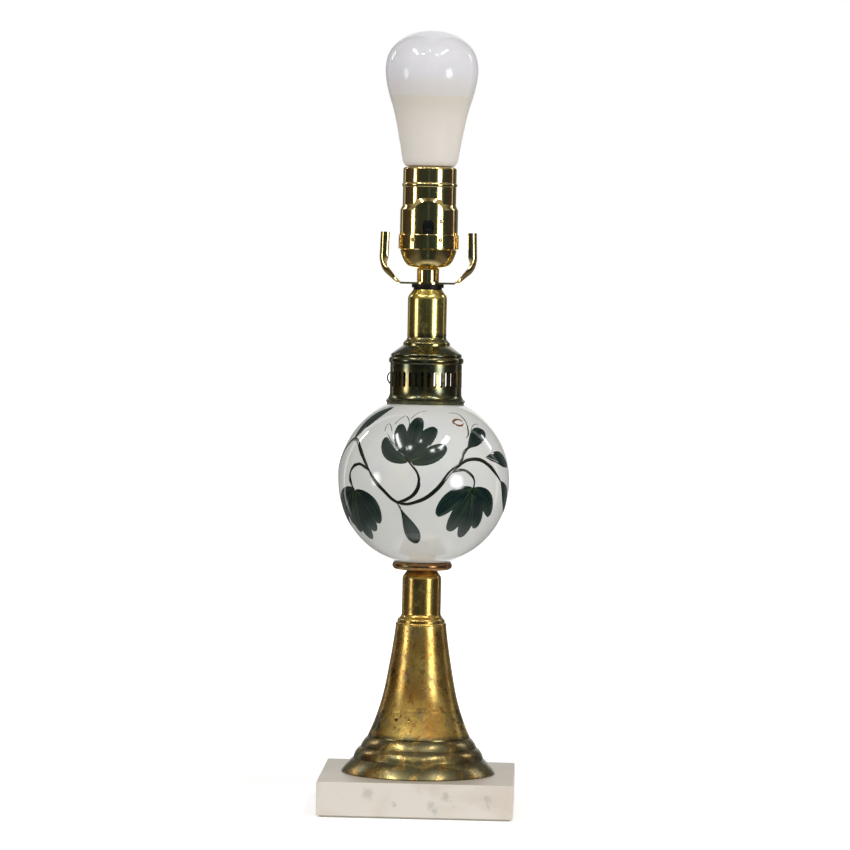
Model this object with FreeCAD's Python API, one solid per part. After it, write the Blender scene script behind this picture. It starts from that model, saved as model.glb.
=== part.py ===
import FreeCAD, Part
import math
import os

# Table lamp: a marble block, a spun brass trumpet foot, a glass globe between
# brass fittings, a pierced gallery, and a lamp socket with its bulb, all
# stacked on one hollow threaded rod.
# Millimetres. Z = 0 is the underside of the felt, +Z is up, -Y is the front.

Vector = FreeCAD.Vector

# Driving dimensions
BASE_SIDE = 118.0
BASE_THICKNESS = 20.5
FELT_THICKNESS = 1.0
SPUN_WALL = 0.8
SOCKET_WALL = 0.5
ROD_RADIUS = 4.85
ROD_BORE_RADIUS = 3.3
ROD_HOLE_RADIUS = 5.15
FOOT_RIM_RADIUS = 47.1
NECK_RADIUS = 12.0
GLOBE_RADIUS = 52.8
GLOBE_WALL = 3.0
GLOBE_HOLE_RADIUS = 12.5
GALLERY_RADIUS = 22.1
GALLERY_SLOTS = 35
SOCKET_RADIUS = 17.8
BULB_RADIUS = 28.45
BULB_BASE_RADIUS = 13.0

# Heights of the stack, each worked out from the piece below it
MARBLE_TOP = FELT_THICKNESS + BASE_THICKNESS
FOOT_TOP = MARBLE_TOP + 92.1
LOWER_NECK_HEIGHT = 32.4
RING_BOTTOM = FOOT_TOP + LOWER_NECK_HEIGHT
RING_HEIGHT = 5.2
GLOBE_BOTTOM = RING_BOTTOM + RING_HEIGHT
GLOBE_TOP = GLOBE_BOTTOM + 96.1
GLOBE_CENTRE = GLOBE_BOTTOM + 49.2
GALLERY_HEIGHT = 35.8
GALLERY_TOP = GLOBE_TOP + GALLERY_HEIGHT
UPPER_NECK_HEIGHT = 34.4
NECK_TOP = GALLERY_TOP + UPPER_NECK_HEIGHT
LOCK_RING_HEIGHT = 1.0
WASHER_HEIGHT = 2.1
SADDLE_BOTTOM = NECK_TOP + LOCK_RING_HEIGHT + WASHER_HEIGHT
SADDLE_THICKNESS = 1.2
CAP_BOTTOM = SADDLE_BOTTOM + SADDLE_THICKNESS
CAP_TOP = CAP_BOTTOM + 28.9
SOCKET_TOP = CAP_TOP + 41.2
BULB_BOTTOM = SOCKET_TOP + 0.6
BULB_SEAM = BULB_BOTTOM + 42.0
BULB_TOP = BULB_SEAM + 40.6
BULB_TIP = BULB_BOTTOM - 25.6

# Under the marble
COUNTERBORE_RADIUS = 17.0
COUNTERBORE_DEPTH = 12.0
COUNTERBORE_TOP = FELT_THICKNESS + COUNTERBORE_DEPTH
BOTTOM_WASHER = (14.0, 1.6)
BOTTOM_NUT = (15.9, 4.0)
CORD_HOLE_HEIGHT = FELT_THICKNESS + 6.5
CORD_HOLE_RADIUS = 4.5
BUSHING_FLANGE = (6.0, 1.2)
BUSHING_BORE_RADIUS = 3.1

# Gallery slots
SLOT_WIDTH = 1.8
SLOT_LENGTH = 9.3
SLOT_BOTTOM = GLOBE_TOP + 10.5
SLOT_PITCH = 360.0 / (GALLERY_SLOTS + 0.5)
SEAM_TO_FRONT = 14
FRONT_ANGLE = -90.0
SLOT_PHASE = 5.6
BENT_SLAT = -9.5

# Harp saddle
SADDLE_WIDTH = 12.4
SADDLE_FLAT = 16.6
PRONG_REACH = 29.8
PRONG_TOP = SADDLE_BOTTOM + 31.7
PRONG_RADIUS = 3.3

# Set screw through the hub of the socket cap
SET_SCREW_RADIUS = 1.6
SET_SCREW_HEIGHT = CAP_BOTTOM + 3.5

# Push-through switch
SWITCH_HEIGHT = CAP_TOP + 5.6
SWITCH_ROD_RADIUS = 3.0
SWITCH_ROD_LENGTH = 44.0
SWITCH_FRONT = -(SOCKET_RADIUS + 1.3)
SWITCH_CLEARANCE = 0.08
NOTCH_RADIUS = 3.6
ARCH_RADIUS = 5.6
ARCH_HEIGHT = CAP_TOP + 14.6
ARCH_DRAFT = 1.4

# Socket interior
LINER_WALL = 0.7
SCREW_SHELL_RADIUS = 13.4
SCREW_SHELL_WALL = 0.4
SWITCH_BODY_RADIUS = 15.6
SWITCH_BODY_FLAT = 13.0
SWITCH_BODY_BOTTOM = CAP_BOTTOM + 16.5
SWITCH_BODY_TOP = BULB_TIP - 1.4

AXIS = Vector(0, 0, 1)
ORIGIN = Vector(0, 0, 0)


def point(radius_height):
    """A point of a revolved outline, given as radius and height."""
    return Vector(radius_height[0], 0, radius_height[1])


def outline(start, *legs):
    """Edges from a start point. A leg is a point for a straight line, a pair
    of points for an arc through the first, or a list for a smooth curve."""
    edges = []
    here = point(start)
    for leg in legs:
        if isinstance(leg, list):
            stations = [here] + [point(station) for station in leg]
            curve = Part.BSplineCurve()
            curve.interpolate(stations)
            edges.append(curve.toShape())
            here = stations[-1]
        elif isinstance(leg[0], tuple):
            end = point(leg[1])
            edges.append(Part.Arc(here, point(leg[0]), end).toShape())
            here = end
        else:
            end = point(leg)
            edges.append(Part.LineSegment(here, end).toShape())
            here = end
    return edges


def turned(start, *legs):
    """A solid turned about Z from a closed outline."""
    edges = outline(start, *legs)
    last = edges[-1].Vertexes[-1].Point
    edges.append(Part.LineSegment(last, point(start)).toShape())
    return Part.Face(Part.Wire(edges)).revolve(ORIGIN, AXIS, 360)


def plain_edge(edge):
    """The edge itself, or a smooth curve through it where it only offsets
    another curve."""
    if not isinstance(edge.Curve, Part.OffsetCurve):
        return edge
    curve = Part.BSplineCurve()
    curve.interpolate(edge.discretize(7))
    return curve.toShape()


def thickened(edges, wall):
    """A face between open edges and their offset towards the axis."""
    sheet = Part.Wire(edges).makeOffset2D(wall, 0, True, True)
    plain = [plain_edge(edge) for edge in sheet.OuterWire.OrderedEdges]
    return Part.Face(Part.Wire(plain))


def spun(wall, start, *legs):
    """A sheet metal shell spun about Z. The outline is its outer face, and
    the wall is added on the side of the axis."""
    return thickened(outline(start, *legs), wall).revolve(ORIGIN, AXIS, 360)


def cylinder(radius, bottom, top, x=0.0, y=0.0):
    """An upright cylinder between two heights."""
    return Part.makeCylinder(radius, top - bottom, Vector(x, y, bottom))


def tube(outer, inner, bottom, top):
    """An upright tube between two heights."""
    return cylinder(outer, bottom, top).cut(cylinder(inner, bottom, top))


def rod_along_y(radius, start, end, height, x=0.0):
    """A cylinder along Y at a height."""
    return Part.makeCylinder(radius, end - start, Vector(x, start, height), Vector(0, 1, 0))


def block(width, depth, bottom, top, x=0.0, y=0.0):
    """A box centred in plan on x, y."""
    corner = Vector(x - width / 2, y - depth / 2, bottom)
    return Part.makeBox(width, depth, top - bottom, corner)


def hexagon(across_flats, bottom, top):
    """A hexagonal prism on the axis."""
    radius = across_flats / math.sqrt(3)
    corners = []
    for side in range(7):
        angle = math.radians(60 * side)
        corners.append(Vector(radius * math.cos(angle), radius * math.sin(angle), bottom))
    face = Part.Face(Part.makePolygon(corners))
    return face.extrude(Vector(0, 0, top - bottom))


def upright_edges(shape):
    """The straight edges of a shape that run along Z."""
    upright = []
    for edge in shape.Edges:
        start, end = edge.Vertexes[0].Point, edge.Vertexes[-1].Point
        if abs(start.x - end.x) < 1e-6 and abs(start.y - end.y) < 1e-6:
            upright.append(edge)
    return upright


def felt_pad():
    """Thin felt under the whole block, with rounded corners."""
    side = BASE_SIDE - 3.0
    pad = block(side, side, 0, FELT_THICKNESS)
    return pad.makeFillet(4.0, upright_edges(pad))


def marble_base():
    """Square block with a rod hole, a counterbore and a cord hole behind."""
    body = block(BASE_SIDE, BASE_SIDE, FELT_THICKNESS, MARBLE_TOP)
    body = body.makeChamfer(0.5, body.Edges)
    rod_hole = cylinder(ROD_HOLE_RADIUS, 0, MARBLE_TOP + 1)
    counterbore = cylinder(COUNTERBORE_RADIUS, 0, COUNTERBORE_TOP)
    half = BASE_SIDE / 2
    cord_hole = rod_along_y(CORD_HOLE_RADIUS, 0, half + 1, CORD_HOLE_HEIGHT)
    flange_seat = rod_along_y(BUSHING_FLANGE[0], half - BUSHING_FLANGE[1], half + 1, CORD_HOLE_HEIGHT)
    return body.cut(rod_hole).cut(counterbore).cut(cord_hole).cut(flange_seat)


def cord_bushing():
    """Flanged sleeve in the mouth of the cord hole, flush with the block."""
    half = BASE_SIDE / 2
    sleeve = rod_along_y(CORD_HOLE_RADIUS, half - 14.0, half, CORD_HOLE_HEIGHT)
    flange = rod_along_y(BUSHING_FLANGE[0], half - BUSHING_FLANGE[1], half, CORD_HOLE_HEIGHT)
    bore = rod_along_y(BUSHING_BORE_RADIUS, half - 15.0, half + 1, CORD_HOLE_HEIGHT)
    return sleeve.fuse(flange).removeSplitter().cut(bore)


def bottom_washer():
    """Plain washer in the counterbore."""
    radius, thickness = BOTTOM_WASHER
    return tube(radius, ROD_HOLE_RADIUS, COUNTERBORE_TOP - thickness, COUNTERBORE_TOP)


def bottom_nut():
    """Hexagon nut that draws the whole stack together."""
    across, thickness = BOTTOM_NUT
    top = COUNTERBORE_TOP - BOTTOM_WASHER[1]
    nut = hexagon(across, top - thickness, top)
    return nut.cut(cylinder(ROD_RADIUS, top - thickness - 1, top + 1))


def threaded_rod():
    """Hollow rod from the nut under the block into the socket cap."""
    bottom = COUNTERBORE_TOP - BOTTOM_WASHER[1] - BOTTOM_NUT[1] - 0.9
    return tube(ROD_RADIUS, ROD_BORE_RADIUS, bottom, CAP_BOTTOM + 6.0)


def trumpet_foot():
    """Spun foot: a flared rim, two beads and a long trumpet."""
    rim = FOOT_RIM_RADIUS
    base = MARBLE_TOP
    flare = (((rim - 3.0, base + 4.8), (rim - 7.1, base + 8.8)), (rim - 7.4, base + 9.5))
    lower_bead = (((rim - 8.85, base + 13.1), (rim - 11.5, base + 15.7)), (rim - 11.7, base + 16.3))
    upper_bead = (((rim - 13.05, base + 18.9), (rim - 15.8, base + 21.9)), (rim - 15.9, base + 22.7))
    horn = [(28.3, base + 29.5), (24.8, base + 39.4), (22.15, base + 49.3), (20.2, base + 59.3),
            (18.5, base + 69.2), (16.75, base + 80.3), (15.5, base + 90.3)]
    shoulder = ((15.4, FOOT_TOP - 0.4), (14.9, FOOT_TOP))
    return spun(SPUN_WALL, (rim - 0.6, base), (rim, base + 0.7), *flare, *lower_bead, *upper_bead,
                horn, shoulder, (ROD_HOLE_RADIUS, FOOT_TOP))


def spun_neck(bottom, height, flange_radius):
    """Cup-shaped neck with a beaded foot and a rounded shoulder."""
    top = bottom + height
    edge = flange_radius
    return spun(SPUN_WALL, (edge, bottom), (edge, bottom + 1.1),
                ((edge - 0.3, bottom + 2.0), (edge - 1.1, bottom + 2.7)),
                (edge - 1.2, bottom + 3.1),
                ((edge - 2.1, bottom + 4.0), (NECK_RADIUS, bottom + 5.8)),
                (NECK_RADIUS, top - 6.0),
                ((11.5, top - 3.9), (10.6, top - 2.6)),
                (9.2, top - 0.7),
                ((8.9, top - 0.2), (8.4, top)), (ROD_HOLE_RADIUS, top))


def seat_ring():
    """Squashed ring that carries the globe."""
    bottom = RING_BOTTOM
    half = RING_HEIGHT / 2
    centre = 15.8
    bead = ((centre + half, bottom + half), (centre, bottom + RING_HEIGHT))
    return turned((ROD_HOLE_RADIUS, bottom), (centre, bottom), bead,
                  (13.2, bottom + RING_HEIGHT), (12.2, bottom + 2.4), (ROD_HOLE_RADIUS, bottom + 2.4))


def globe():
    """Blown glass ball, ground flat where the brass seats above and below."""
    centre = Vector(0, 0, GLOBE_CENTRE)
    ball = Part.makeSphere(GLOBE_RADIUS, centre)
    hollow = Part.makeSphere(GLOBE_RADIUS - GLOBE_WALL, centre)
    band = block(3 * GLOBE_RADIUS, 3 * GLOBE_RADIUS, GLOBE_BOTTOM, GLOBE_TOP)
    bottom_hole = cylinder(GLOBE_HOLE_RADIUS, GLOBE_BOTTOM - 1, GLOBE_CENTRE)
    return ball.cut(hollow).common(band).cut(bottom_hole)


def slot_angle(place):
    """Angle about Z of a place in the row of slots. Whole places are slots,
    and halves are the slats between them."""
    return FRONT_ANGLE + SLOT_PHASE + SLOT_PITCH * place


def gallery_slot(angle):
    """Cutter for one upright slot with round ends."""
    radius = SLOT_WIDTH / 2
    bottom = SLOT_BOTTOM + radius
    top = SLOT_BOTTOM + SLOT_LENGTH - radius
    inner = GALLERY_RADIUS - 3.0
    body = Part.makeBox(6.0, SLOT_WIDTH, top - bottom, Vector(inner, -radius, bottom))
    along = Vector(1, 0, 0)
    low_end = Part.makeCylinder(radius, 6.0, Vector(inner, 0, bottom), along)
    high_end = Part.makeCylinder(radius, 6.0, Vector(inner, 0, top), along)
    cutter = body.fuse([low_end, high_end]).removeSplitter()
    cutter.rotate(ORIGIN, AXIS, angle)
    return cutter


def bent_slat():
    """Cutter and strip for the slat that has sprung outwards at its top."""
    low = SLOT_BOTTOM
    wall = GALLERY_RADIUS
    width = math.radians(SLOT_PITCH) * wall - SLOT_WIDTH
    straight = SLOT_LENGTH - SLOT_WIDTH
    gap = Part.makeBox(4.0, width + 0.6, straight,
                       Vector(wall - 2.0, -(width + 0.6) / 2, low + SLOT_WIDTH / 2))
    bow = ((wall + 1.7, low + 5.4), (wall + 0.4, low + SLOT_LENGTH - 0.6))
    spine = outline((wall - 0.3, low + 0.2), (wall - 0.3, low + 1.2), bow)
    strip = thickened(spine, 0.45).extrude(Vector(0, width, 0))
    strip.translate(Vector(0, -width / 2, 0))
    for shape in (gap, strip):
        shape.rotate(ORIGIN, AXIS, slot_angle(BENT_SLAT))
    return gap, strip


def gallery_collar():
    """Pierced gallery: a lip on the glass, a slotted wall, two beads and a
    coned shoulder. The slotted strip meets itself behind on the left, at a
    slat that is half a pitch wider."""
    low, high = GLOBE_TOP, GALLERY_TOP
    wall = GALLERY_RADIUS
    shell = spun(SPUN_WALL, (wall + 1.5, low), (wall + 2.5, low + 2.2),
                 ((wall + 0.9, low + 3.8), (wall, low + 5.9)),
                 (wall, low + 24.5),
                 ((wall + 0.85, low + 26.8), (wall + 0.1, low + 28.6)),
                 (wall - 0.5, low + 28.9),
                 ((wall - 0.35, low + 30.0), (wall - 1.0, low + 31.0)),
                 (14.9, high - 0.2), (14.4, high), (ROD_HOLE_RADIUS, high))
    slots = [gallery_slot(slot_angle(index - SEAM_TO_FRONT)) for index in range(GALLERY_SLOTS)]
    gap, strip = bent_slat()
    return shell.cut(slots + [gap]).fuse(strip)


def lock_ring():
    """Round check ring on the rod above the upper neck."""
    return tube(8.7, ROD_HOLE_RADIUS, NECK_TOP, NECK_TOP + LOCK_RING_HEIGHT)


def saddle_washer():
    """Dark washer under the harp saddle."""
    bottom = NECK_TOP + LOCK_RING_HEIGHT
    return tube(9.8, ROD_HOLE_RADIUS, bottom, SADDLE_BOTTOM)


def curled_section(reach, height, slope, radius, half_width):
    """Wire of a strip curled to a radius, square to its run up the arm. The
    run climbs at the slope, and the strip's lips turn towards the axis."""
    angle = half_width / radius
    inner = radius - SADDLE_THICKNESS
    tilt = math.radians(slope)
    inward = Vector(-math.sin(tilt), 0, math.cos(tilt))
    back = Vector(reach, 0, height)

    def station(arc_radius, turn):
        sideways = Vector(0, arc_radius * math.sin(turn), 0)
        return back + inward * (radius - arc_radius * math.cos(turn)) + sideways

    outer_arc = Part.Arc(station(radius, -angle), station(radius, 0), station(radius, angle))
    inner_arc = Part.Arc(station(inner, angle), station(inner, 0), station(inner, -angle))
    lip = Part.LineSegment(station(radius, angle), station(inner, angle))
    other_lip = Part.LineSegment(station(inner, -angle), station(radius, -angle))
    return Part.Wire([outer_arc.toShape(), lip.toShape(), inner_arc.toShape(), other_lip.toShape()])


def saddle_arm():
    """Right arm: flat at the middle, then curling up into an open prong."""
    low = SADDLE_BOTTOM
    half = SADDLE_WIDTH / 2
    bend = [curled_section(SADDLE_FLAT, low, 0, 60.0, half),
            curled_section(SADDLE_FLAT + 3.6, low + 1.3, 36, 14.0, half - 0.3),
            curled_section(SADDLE_FLAT + 7.8, low + 5.0, 49, 6.6, half - 0.3),
            curled_section(SADDLE_FLAT + 11.6, low + 9.4, 53, 4.4, half),
            curled_section(PRONG_REACH - 0.2, low + 14.0, 83, 3.5, half + 0.4),
            curled_section(PRONG_REACH, low + 18.0, 90, PRONG_RADIUS, half + 1.2)]
    curl = Part.makeLoft(bend, True, False)
    prong = Part.makeLoft([bend[-1], curled_section(PRONG_REACH - 0.4, PRONG_TOP, 91.0, PRONG_RADIUS, half + 1.2)],
                          True, True)
    return curl.fuse(prong)


def harp_saddle():
    """Stamped strip with a rod hole and a curled prong at each end."""
    plate = block(2 * SADDLE_FLAT, SADDLE_WIDTH, SADDLE_BOTTOM, CAP_BOTTOM)
    boss = cylinder(9.0, SADDLE_BOTTOM, CAP_BOTTOM)
    arm = saddle_arm()
    other_arm = arm.mirror(ORIGIN, Vector(1, 0, 0))
    strip = plate.fuse([boss, arm, other_arm]).removeSplitter()
    return strip.cut(cylinder(ROD_HOLE_RADIUS, SADDLE_BOTTOM - 1, CAP_BOTTOM + 1))


def socket_cap():
    """Spun cap: a threaded hub, a bowl and a plain rim band."""
    low = CAP_BOTTOM
    band = SOCKET_RADIUS + 0.7
    cup = spun(SOCKET_WALL, (6.8, low), (6.8, low + 7.0),
               ((7.3, low + 8.1), (8.6, low + 8.4)),
               [(13.3, low + 10.6), (16.1, low + 15.2), (17.6, low + 19.5)],
               (band, low + 20.2), (band, CAP_TOP - 0.3), (band - 0.15, CAP_TOP))
    hub = tube(6.5, ROD_RADIUS, low, low + 7.0)
    screw_hole = rod_along_y(SET_SCREW_RADIUS, 0, 10.0, SET_SCREW_HEIGHT)
    return cup.fuse(hub).removeSplitter().cut(screw_hole)


def cap_set_screw():
    """Grub screw through the back of the hub."""
    shank = rod_along_y(SET_SCREW_RADIUS, ROD_RADIUS, 7.8, SET_SCREW_HEIGHT)
    head = rod_along_y(2.5, 7.0, 8.6, SET_SCREW_HEIGHT)
    return shank.fuse(head).removeSplitter()


def arch_cutter(radius, start, end, bottom):
    """Cutter along Y for an arch-topped notch that is open below."""
    arch = rod_along_y(radius, start, end, SWITCH_HEIGHT)
    legs = Part.makeBox(2 * radius, end - start, SWITCH_HEIGHT - bottom, Vector(-radius, start, bottom))
    return arch.fuse(legs).removeSplitter()


def arch_wire(radius, y, bottom):
    """Closed outline of an upright arch in a plane across Y."""
    left = Vector(-radius, y, ARCH_HEIGHT)
    crown = Vector(0, y, ARCH_HEIGHT + radius)
    right = Vector(radius, y, ARCH_HEIGHT)
    foot_right = Vector(radius, y, bottom)
    foot_left = Vector(-radius, y, bottom)
    arch = Part.Arc(left, crown, right).toShape()
    feet = Part.makePolygon([right, foot_right, foot_left, left])
    return Part.Wire([arch] + feet.Edges)


def raised_arches(wall):
    """The pressed pads round both switch holes, shrunk by a wall."""
    low = CAP_TOP - 3.0
    inside, outside = SOCKET_RADIUS - 3.0, SOCKET_RADIUS + 1.0
    wide = arch_wire(ARCH_RADIUS + 3.0 * ARCH_DRAFT - wall, -inside, low)
    narrow = arch_wire(ARCH_RADIUS - ARCH_DRAFT - wall, -outside, low)
    pad = Part.makeLoft([wide, narrow], True, True)
    pads = pad.fuse(pad.mirror(ORIGIN, Vector(0, 1, 0)))
    return pads.common(cylinder(SOCKET_RADIUS - wall, low, CAP_TOP + 30.0))


def socket_form(wall):
    """The solid form of the socket shell, shrunk by a wall."""
    low = CAP_TOP - 6.5
    wide = SOCKET_RADIUS - wall
    neck = wide - 1.35
    mouth = neck - 1.3
    form = turned((0, low), (wide, low), (wide, CAP_TOP + 14.8),
                  [(wide - 0.45, CAP_TOP + 16.2), (neck + 0.15, CAP_TOP + 17.7), (neck, CAP_TOP + 19.0)],
                  (neck, CAP_TOP + 28.9),
                  ((neck + 0.6, CAP_TOP + 30.3), (neck, CAP_TOP + 31.7)),
                  (neck, SOCKET_TOP - 1.4 - wall),
                  ((neck - 0.4, SOCKET_TOP - 0.4 - wall), (mouth, SOCKET_TOP - wall)),
                  (0, SOCKET_TOP - wall))
    return form.fuse(raised_arches(wall))


def socket_shell():
    """Polished shell: wide switch body, shoulder, bead and rolled mouth. At
    front and back a raised arch breaks the shoulder round a notch for the
    switch rod."""
    low = CAP_TOP - 6.5
    mouth = cylinder(SOCKET_RADIUS - SOCKET_WALL - 2.65, SOCKET_TOP - 2.0, SOCKET_TOP + 1.0)
    shell = socket_form(0.0).cut(socket_form(SOCKET_WALL)).cut(mouth)
    reach = SOCKET_RADIUS + 2
    return shell.cut(arch_cutter(NOTCH_RADIUS, -reach, reach, low - 1))


def shell_liner():
    """Fibre liner between the brass shell and the live parts."""
    low = CAP_TOP - 3.0
    wide = SOCKET_RADIUS - SOCKET_WALL - 0.15
    narrow = wide - 1.35
    sleeve = spun(LINER_WALL, (wide, low), (wide, CAP_TOP + 13.8),
                  (narrow, CAP_TOP + 17.2), (narrow, SOCKET_TOP - 1.6))
    return sleeve.cut(arch_cutter(NOTCH_RADIUS - 0.2, -SOCKET_RADIUS, SOCKET_RADIUS, low - 1))


def switch_body():
    """Moulded switch body with flats for the terminals and a bore for the
    switch rod."""
    low, high = SWITCH_BODY_BOTTOM, SWITCH_BODY_TOP
    body = cylinder(SWITCH_BODY_RADIUS, low, high)
    for side in (-1, 1):
        centre = side * (SWITCH_BODY_FLAT + 5.0)
        body = body.cut(block(10.0, 40.0, low, low + 14.0, x=centre))
    bore = rod_along_y(SWITCH_ROD_RADIUS + SWITCH_CLEARANCE, -20.0, 20.0, SWITCH_HEIGHT)
    return body.cut(bore)


def terminal_screws():
    """A wire terminal screw on each flat of the switch body."""
    height = SWITCH_BODY_BOTTOM + 8.0
    screws = []
    for side in (-1, 1):
        out = Vector(side, 0, 0)
        screws.append(Part.makeCylinder(2.6, 1.8, Vector(side * SWITCH_BODY_FLAT, 0, height), out))
    return Part.makeCompound(screws)


def screw_shell():
    """Metal cup that takes the bulb's screw base."""
    low = SWITCH_BODY_TOP
    wall = SCREW_SHELL_RADIUS + SCREW_SHELL_WALL
    return spun(SCREW_SHELL_WALL, (8.0, low), (wall, low), (wall, SOCKET_TOP - 2.4))


def centre_contact():
    """Riveted spring tongue under the bulb's tip."""
    low = SWITCH_BODY_TOP
    tongue = outline((-7.0, low), (-4.0, low), ((-0.6, low + 0.3), (1.6, low + 0.85)))
    strip = thickened(tongue, 0.3).extrude(Vector(0, 4.0, 0))
    strip.translate(Vector(0, -2.0, low - strip.optimalBoundingBox().ZMin))
    return strip


def switch_rod():
    """Black rod that is pushed through from either side."""
    rear = SWITCH_FRONT + SWITCH_ROD_LENGTH
    rod = rod_along_y(SWITCH_ROD_RADIUS, SWITCH_FRONT, rear, SWITCH_HEIGHT)
    rims = [edge for edge in rod.Edges if len(edge.Vertexes) == 1]
    return rod.makeChamfer(0.5, rims)


def bulb_screw_base():
    """Threaded cap of the bulb, drawn to its crest radius."""
    base = BULB_BASE_RADIUS
    return spun(0.4, (base - 0.6, BULB_TIP + 5.4), (base, BULB_TIP + 6.2), (base, BULB_BOTTOM))


def bulb_base_insulator():
    """Black insulator between the threaded cap and the tip contact."""
    base = BULB_BASE_RADIUS - 0.6
    return turned((0, BULB_TIP + 1.4), (4.9, BULB_TIP + 1.4), (6.6, BULB_TIP + 1.9),
                  (base, BULB_TIP + 5.3), (0, BULB_TIP + 5.3))


def bulb_contact():
    """Domed tip contact."""
    return turned((0, BULB_TIP), ((3.2, BULB_TIP + 0.35), (4.8, BULB_TIP + 1.4)), (0, BULB_TIP + 1.4))


def bulb_housing():
    """Plastic heat sink housing that flares up to the diffuser."""
    low, seam = BULB_BOTTOM, BULB_SEAM
    flare = [(18.3, low + 11.5), (20.8, low + 24.8), (23.4, low + 35.8), (25.5, seam)]
    wall = [(23.9, seam), (21.8, low + 35.8), (19.2, low + 24.8), (16.8, low + 11.5), (15.3, low + 4.0)]
    return turned((BULB_BASE_RADIUS - 0.4, low), (14.6, low),
                  ((16.2, low + 1.7), (17.0, low + 4.0)), flare, wall[0], wall[1:],
                  (BULB_BASE_RADIUS - 0.4, low + 2.0))


def bulb_diffuser():
    """Frosted dome: widest a third of the way up, and flattened on top."""
    seam, top = BULB_SEAM, BULB_TOP
    widest = seam + 17.0
    outer = [(27.4, seam + 7.5), (BULB_RADIUS, widest), (25.9, seam + 28.1), (19.6, top - 5.6),
             (9.6, top - 0.95), (0, top)]
    inner = [(8.9, top - 2.2), (18.8, top - 6.7), (24.6, seam + 27.5), (27.1, widest),
             (26.1, seam + 7.8), (24.3, seam)]
    return turned((25.5, seam), outer, (0, top - 1.3), inner)


def led_board():
    """Round board that closes the housing."""
    return cylinder(21.5, BULB_SEAM - 3.0, BULB_SEAM - 1.4)


def led_chips():
    """Light sources in a ring on the board."""
    chips = []
    for index in range(8):
        chip = block(4.0, 4.0, BULB_SEAM - 1.4, BULB_SEAM - 0.6, x=14.0)
        chip.rotate(ORIGIN, AXIS, 45 * index)
        chips.append(chip)
    return Part.makeCompound(chips)


def driver_board():
    """Upright circuit board inside the housing."""
    return block(22.0, 1.6, BULB_BOTTOM + 4.0, BULB_SEAM - 3.2)


PIECES = {
    "felt_pad": felt_pad,
    "marble_base": marble_base,
    "cord_bushing": cord_bushing,
    "bottom_washer": bottom_washer,
    "bottom_nut": bottom_nut,
    "threaded_rod": threaded_rod,
    "trumpet_foot": trumpet_foot,
    "lower_neck": lambda: spun_neck(FOOT_TOP, LOWER_NECK_HEIGHT, 14.6),
    "seat_ring": seat_ring,
    "globe": globe,
    "gallery_collar": gallery_collar,
    "upper_neck": lambda: spun_neck(GALLERY_TOP, UPPER_NECK_HEIGHT, 14.4),
    "lock_ring": lock_ring,
    "saddle_washer": saddle_washer,
    "harp_saddle": harp_saddle,
    "socket_cap": socket_cap,
    "cap_set_screw": cap_set_screw,
    "socket_shell": socket_shell,
    "shell_liner": shell_liner,
    "switch_body": switch_body,
    "terminal_screws": terminal_screws,
    "screw_shell": screw_shell,
    "centre_contact": centre_contact,
    "switch_rod": switch_rod,
    "bulb_screw_base": bulb_screw_base,
    "bulb_base_insulator": bulb_base_insulator,
    "bulb_contact": bulb_contact,
    "bulb_housing": bulb_housing,
    "bulb_diffuser": bulb_diffuser,
    "led_board": led_board,
    "led_chips": led_chips,
    "driver_board": driver_board,
}

os.makedirs("parts", exist_ok=True)
for name, build in PIECES.items():
    shape = build()
    shape.exportStep(os.path.join("parts", name + ".step"))
    box = shape.optimalBoundingBox()
    print(f"{name}: {len(shape.Solids)} solid, {shape.Volume:.1f} mm3, "
          f"z {box.ZMin:.2f} to {box.ZMax:.2f}, x {box.XMin:.2f} to {box.XMax:.2f}, valid {shape.isValid()}")
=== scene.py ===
"""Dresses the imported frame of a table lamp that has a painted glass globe.

Every mesh is in metres in the frame's own axes: +Z is up and -Y is the front.
Sizes in the classes are millimetres, unless a comment says otherwise.
"""
import logging
import math
from collections.abc import Callable
from dataclasses import dataclass
from enum import Enum

import bmesh
import bpy
from mathutils import Euler, Matrix, Vector


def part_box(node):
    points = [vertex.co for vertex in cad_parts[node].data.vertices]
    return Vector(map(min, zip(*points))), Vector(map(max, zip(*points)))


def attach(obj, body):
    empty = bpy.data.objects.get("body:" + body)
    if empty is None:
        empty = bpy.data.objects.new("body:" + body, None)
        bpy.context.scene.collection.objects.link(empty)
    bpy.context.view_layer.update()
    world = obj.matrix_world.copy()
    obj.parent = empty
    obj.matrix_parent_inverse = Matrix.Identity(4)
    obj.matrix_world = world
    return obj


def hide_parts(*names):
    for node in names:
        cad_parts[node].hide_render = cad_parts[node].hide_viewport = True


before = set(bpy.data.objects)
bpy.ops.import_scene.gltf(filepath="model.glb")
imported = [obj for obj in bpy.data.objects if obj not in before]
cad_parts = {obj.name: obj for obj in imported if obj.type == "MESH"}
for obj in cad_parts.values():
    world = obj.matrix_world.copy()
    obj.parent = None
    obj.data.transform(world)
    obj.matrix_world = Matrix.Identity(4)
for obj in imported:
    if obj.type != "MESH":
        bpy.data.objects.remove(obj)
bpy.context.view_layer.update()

LOG = logging.getLogger("lamp")
MM = 0.001
SHARP = 38.0  # an edge that turns by more degrees stays sharp
Pair = tuple[float, float]
Triple = tuple[float, float, float]
Spot = tuple[float, float, float, float]


# ---------------------------------------------------------------- shaders

@dataclass(frozen=True)
class Opaque:
    """A colour in linear light, without its alpha."""

    rgb: Triple


def rgb(red: float, green: float, blue: float) -> Opaque:
    """A colour from linear red, green and blue."""
    return Opaque((red, green, blue))


def padded(value: float | Opaque | Triple) -> float | tuple[float, ...]:
    """The value that a socket takes: a colour gets its alpha, anything else stays."""
    return (*value.rgb, 1.0) if isinstance(value, Opaque) else value


WHITE = rgb(1.0, 1.0, 1.0)
NO_LIGHT = rgb(0.0, 0.0, 0.0)


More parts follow.
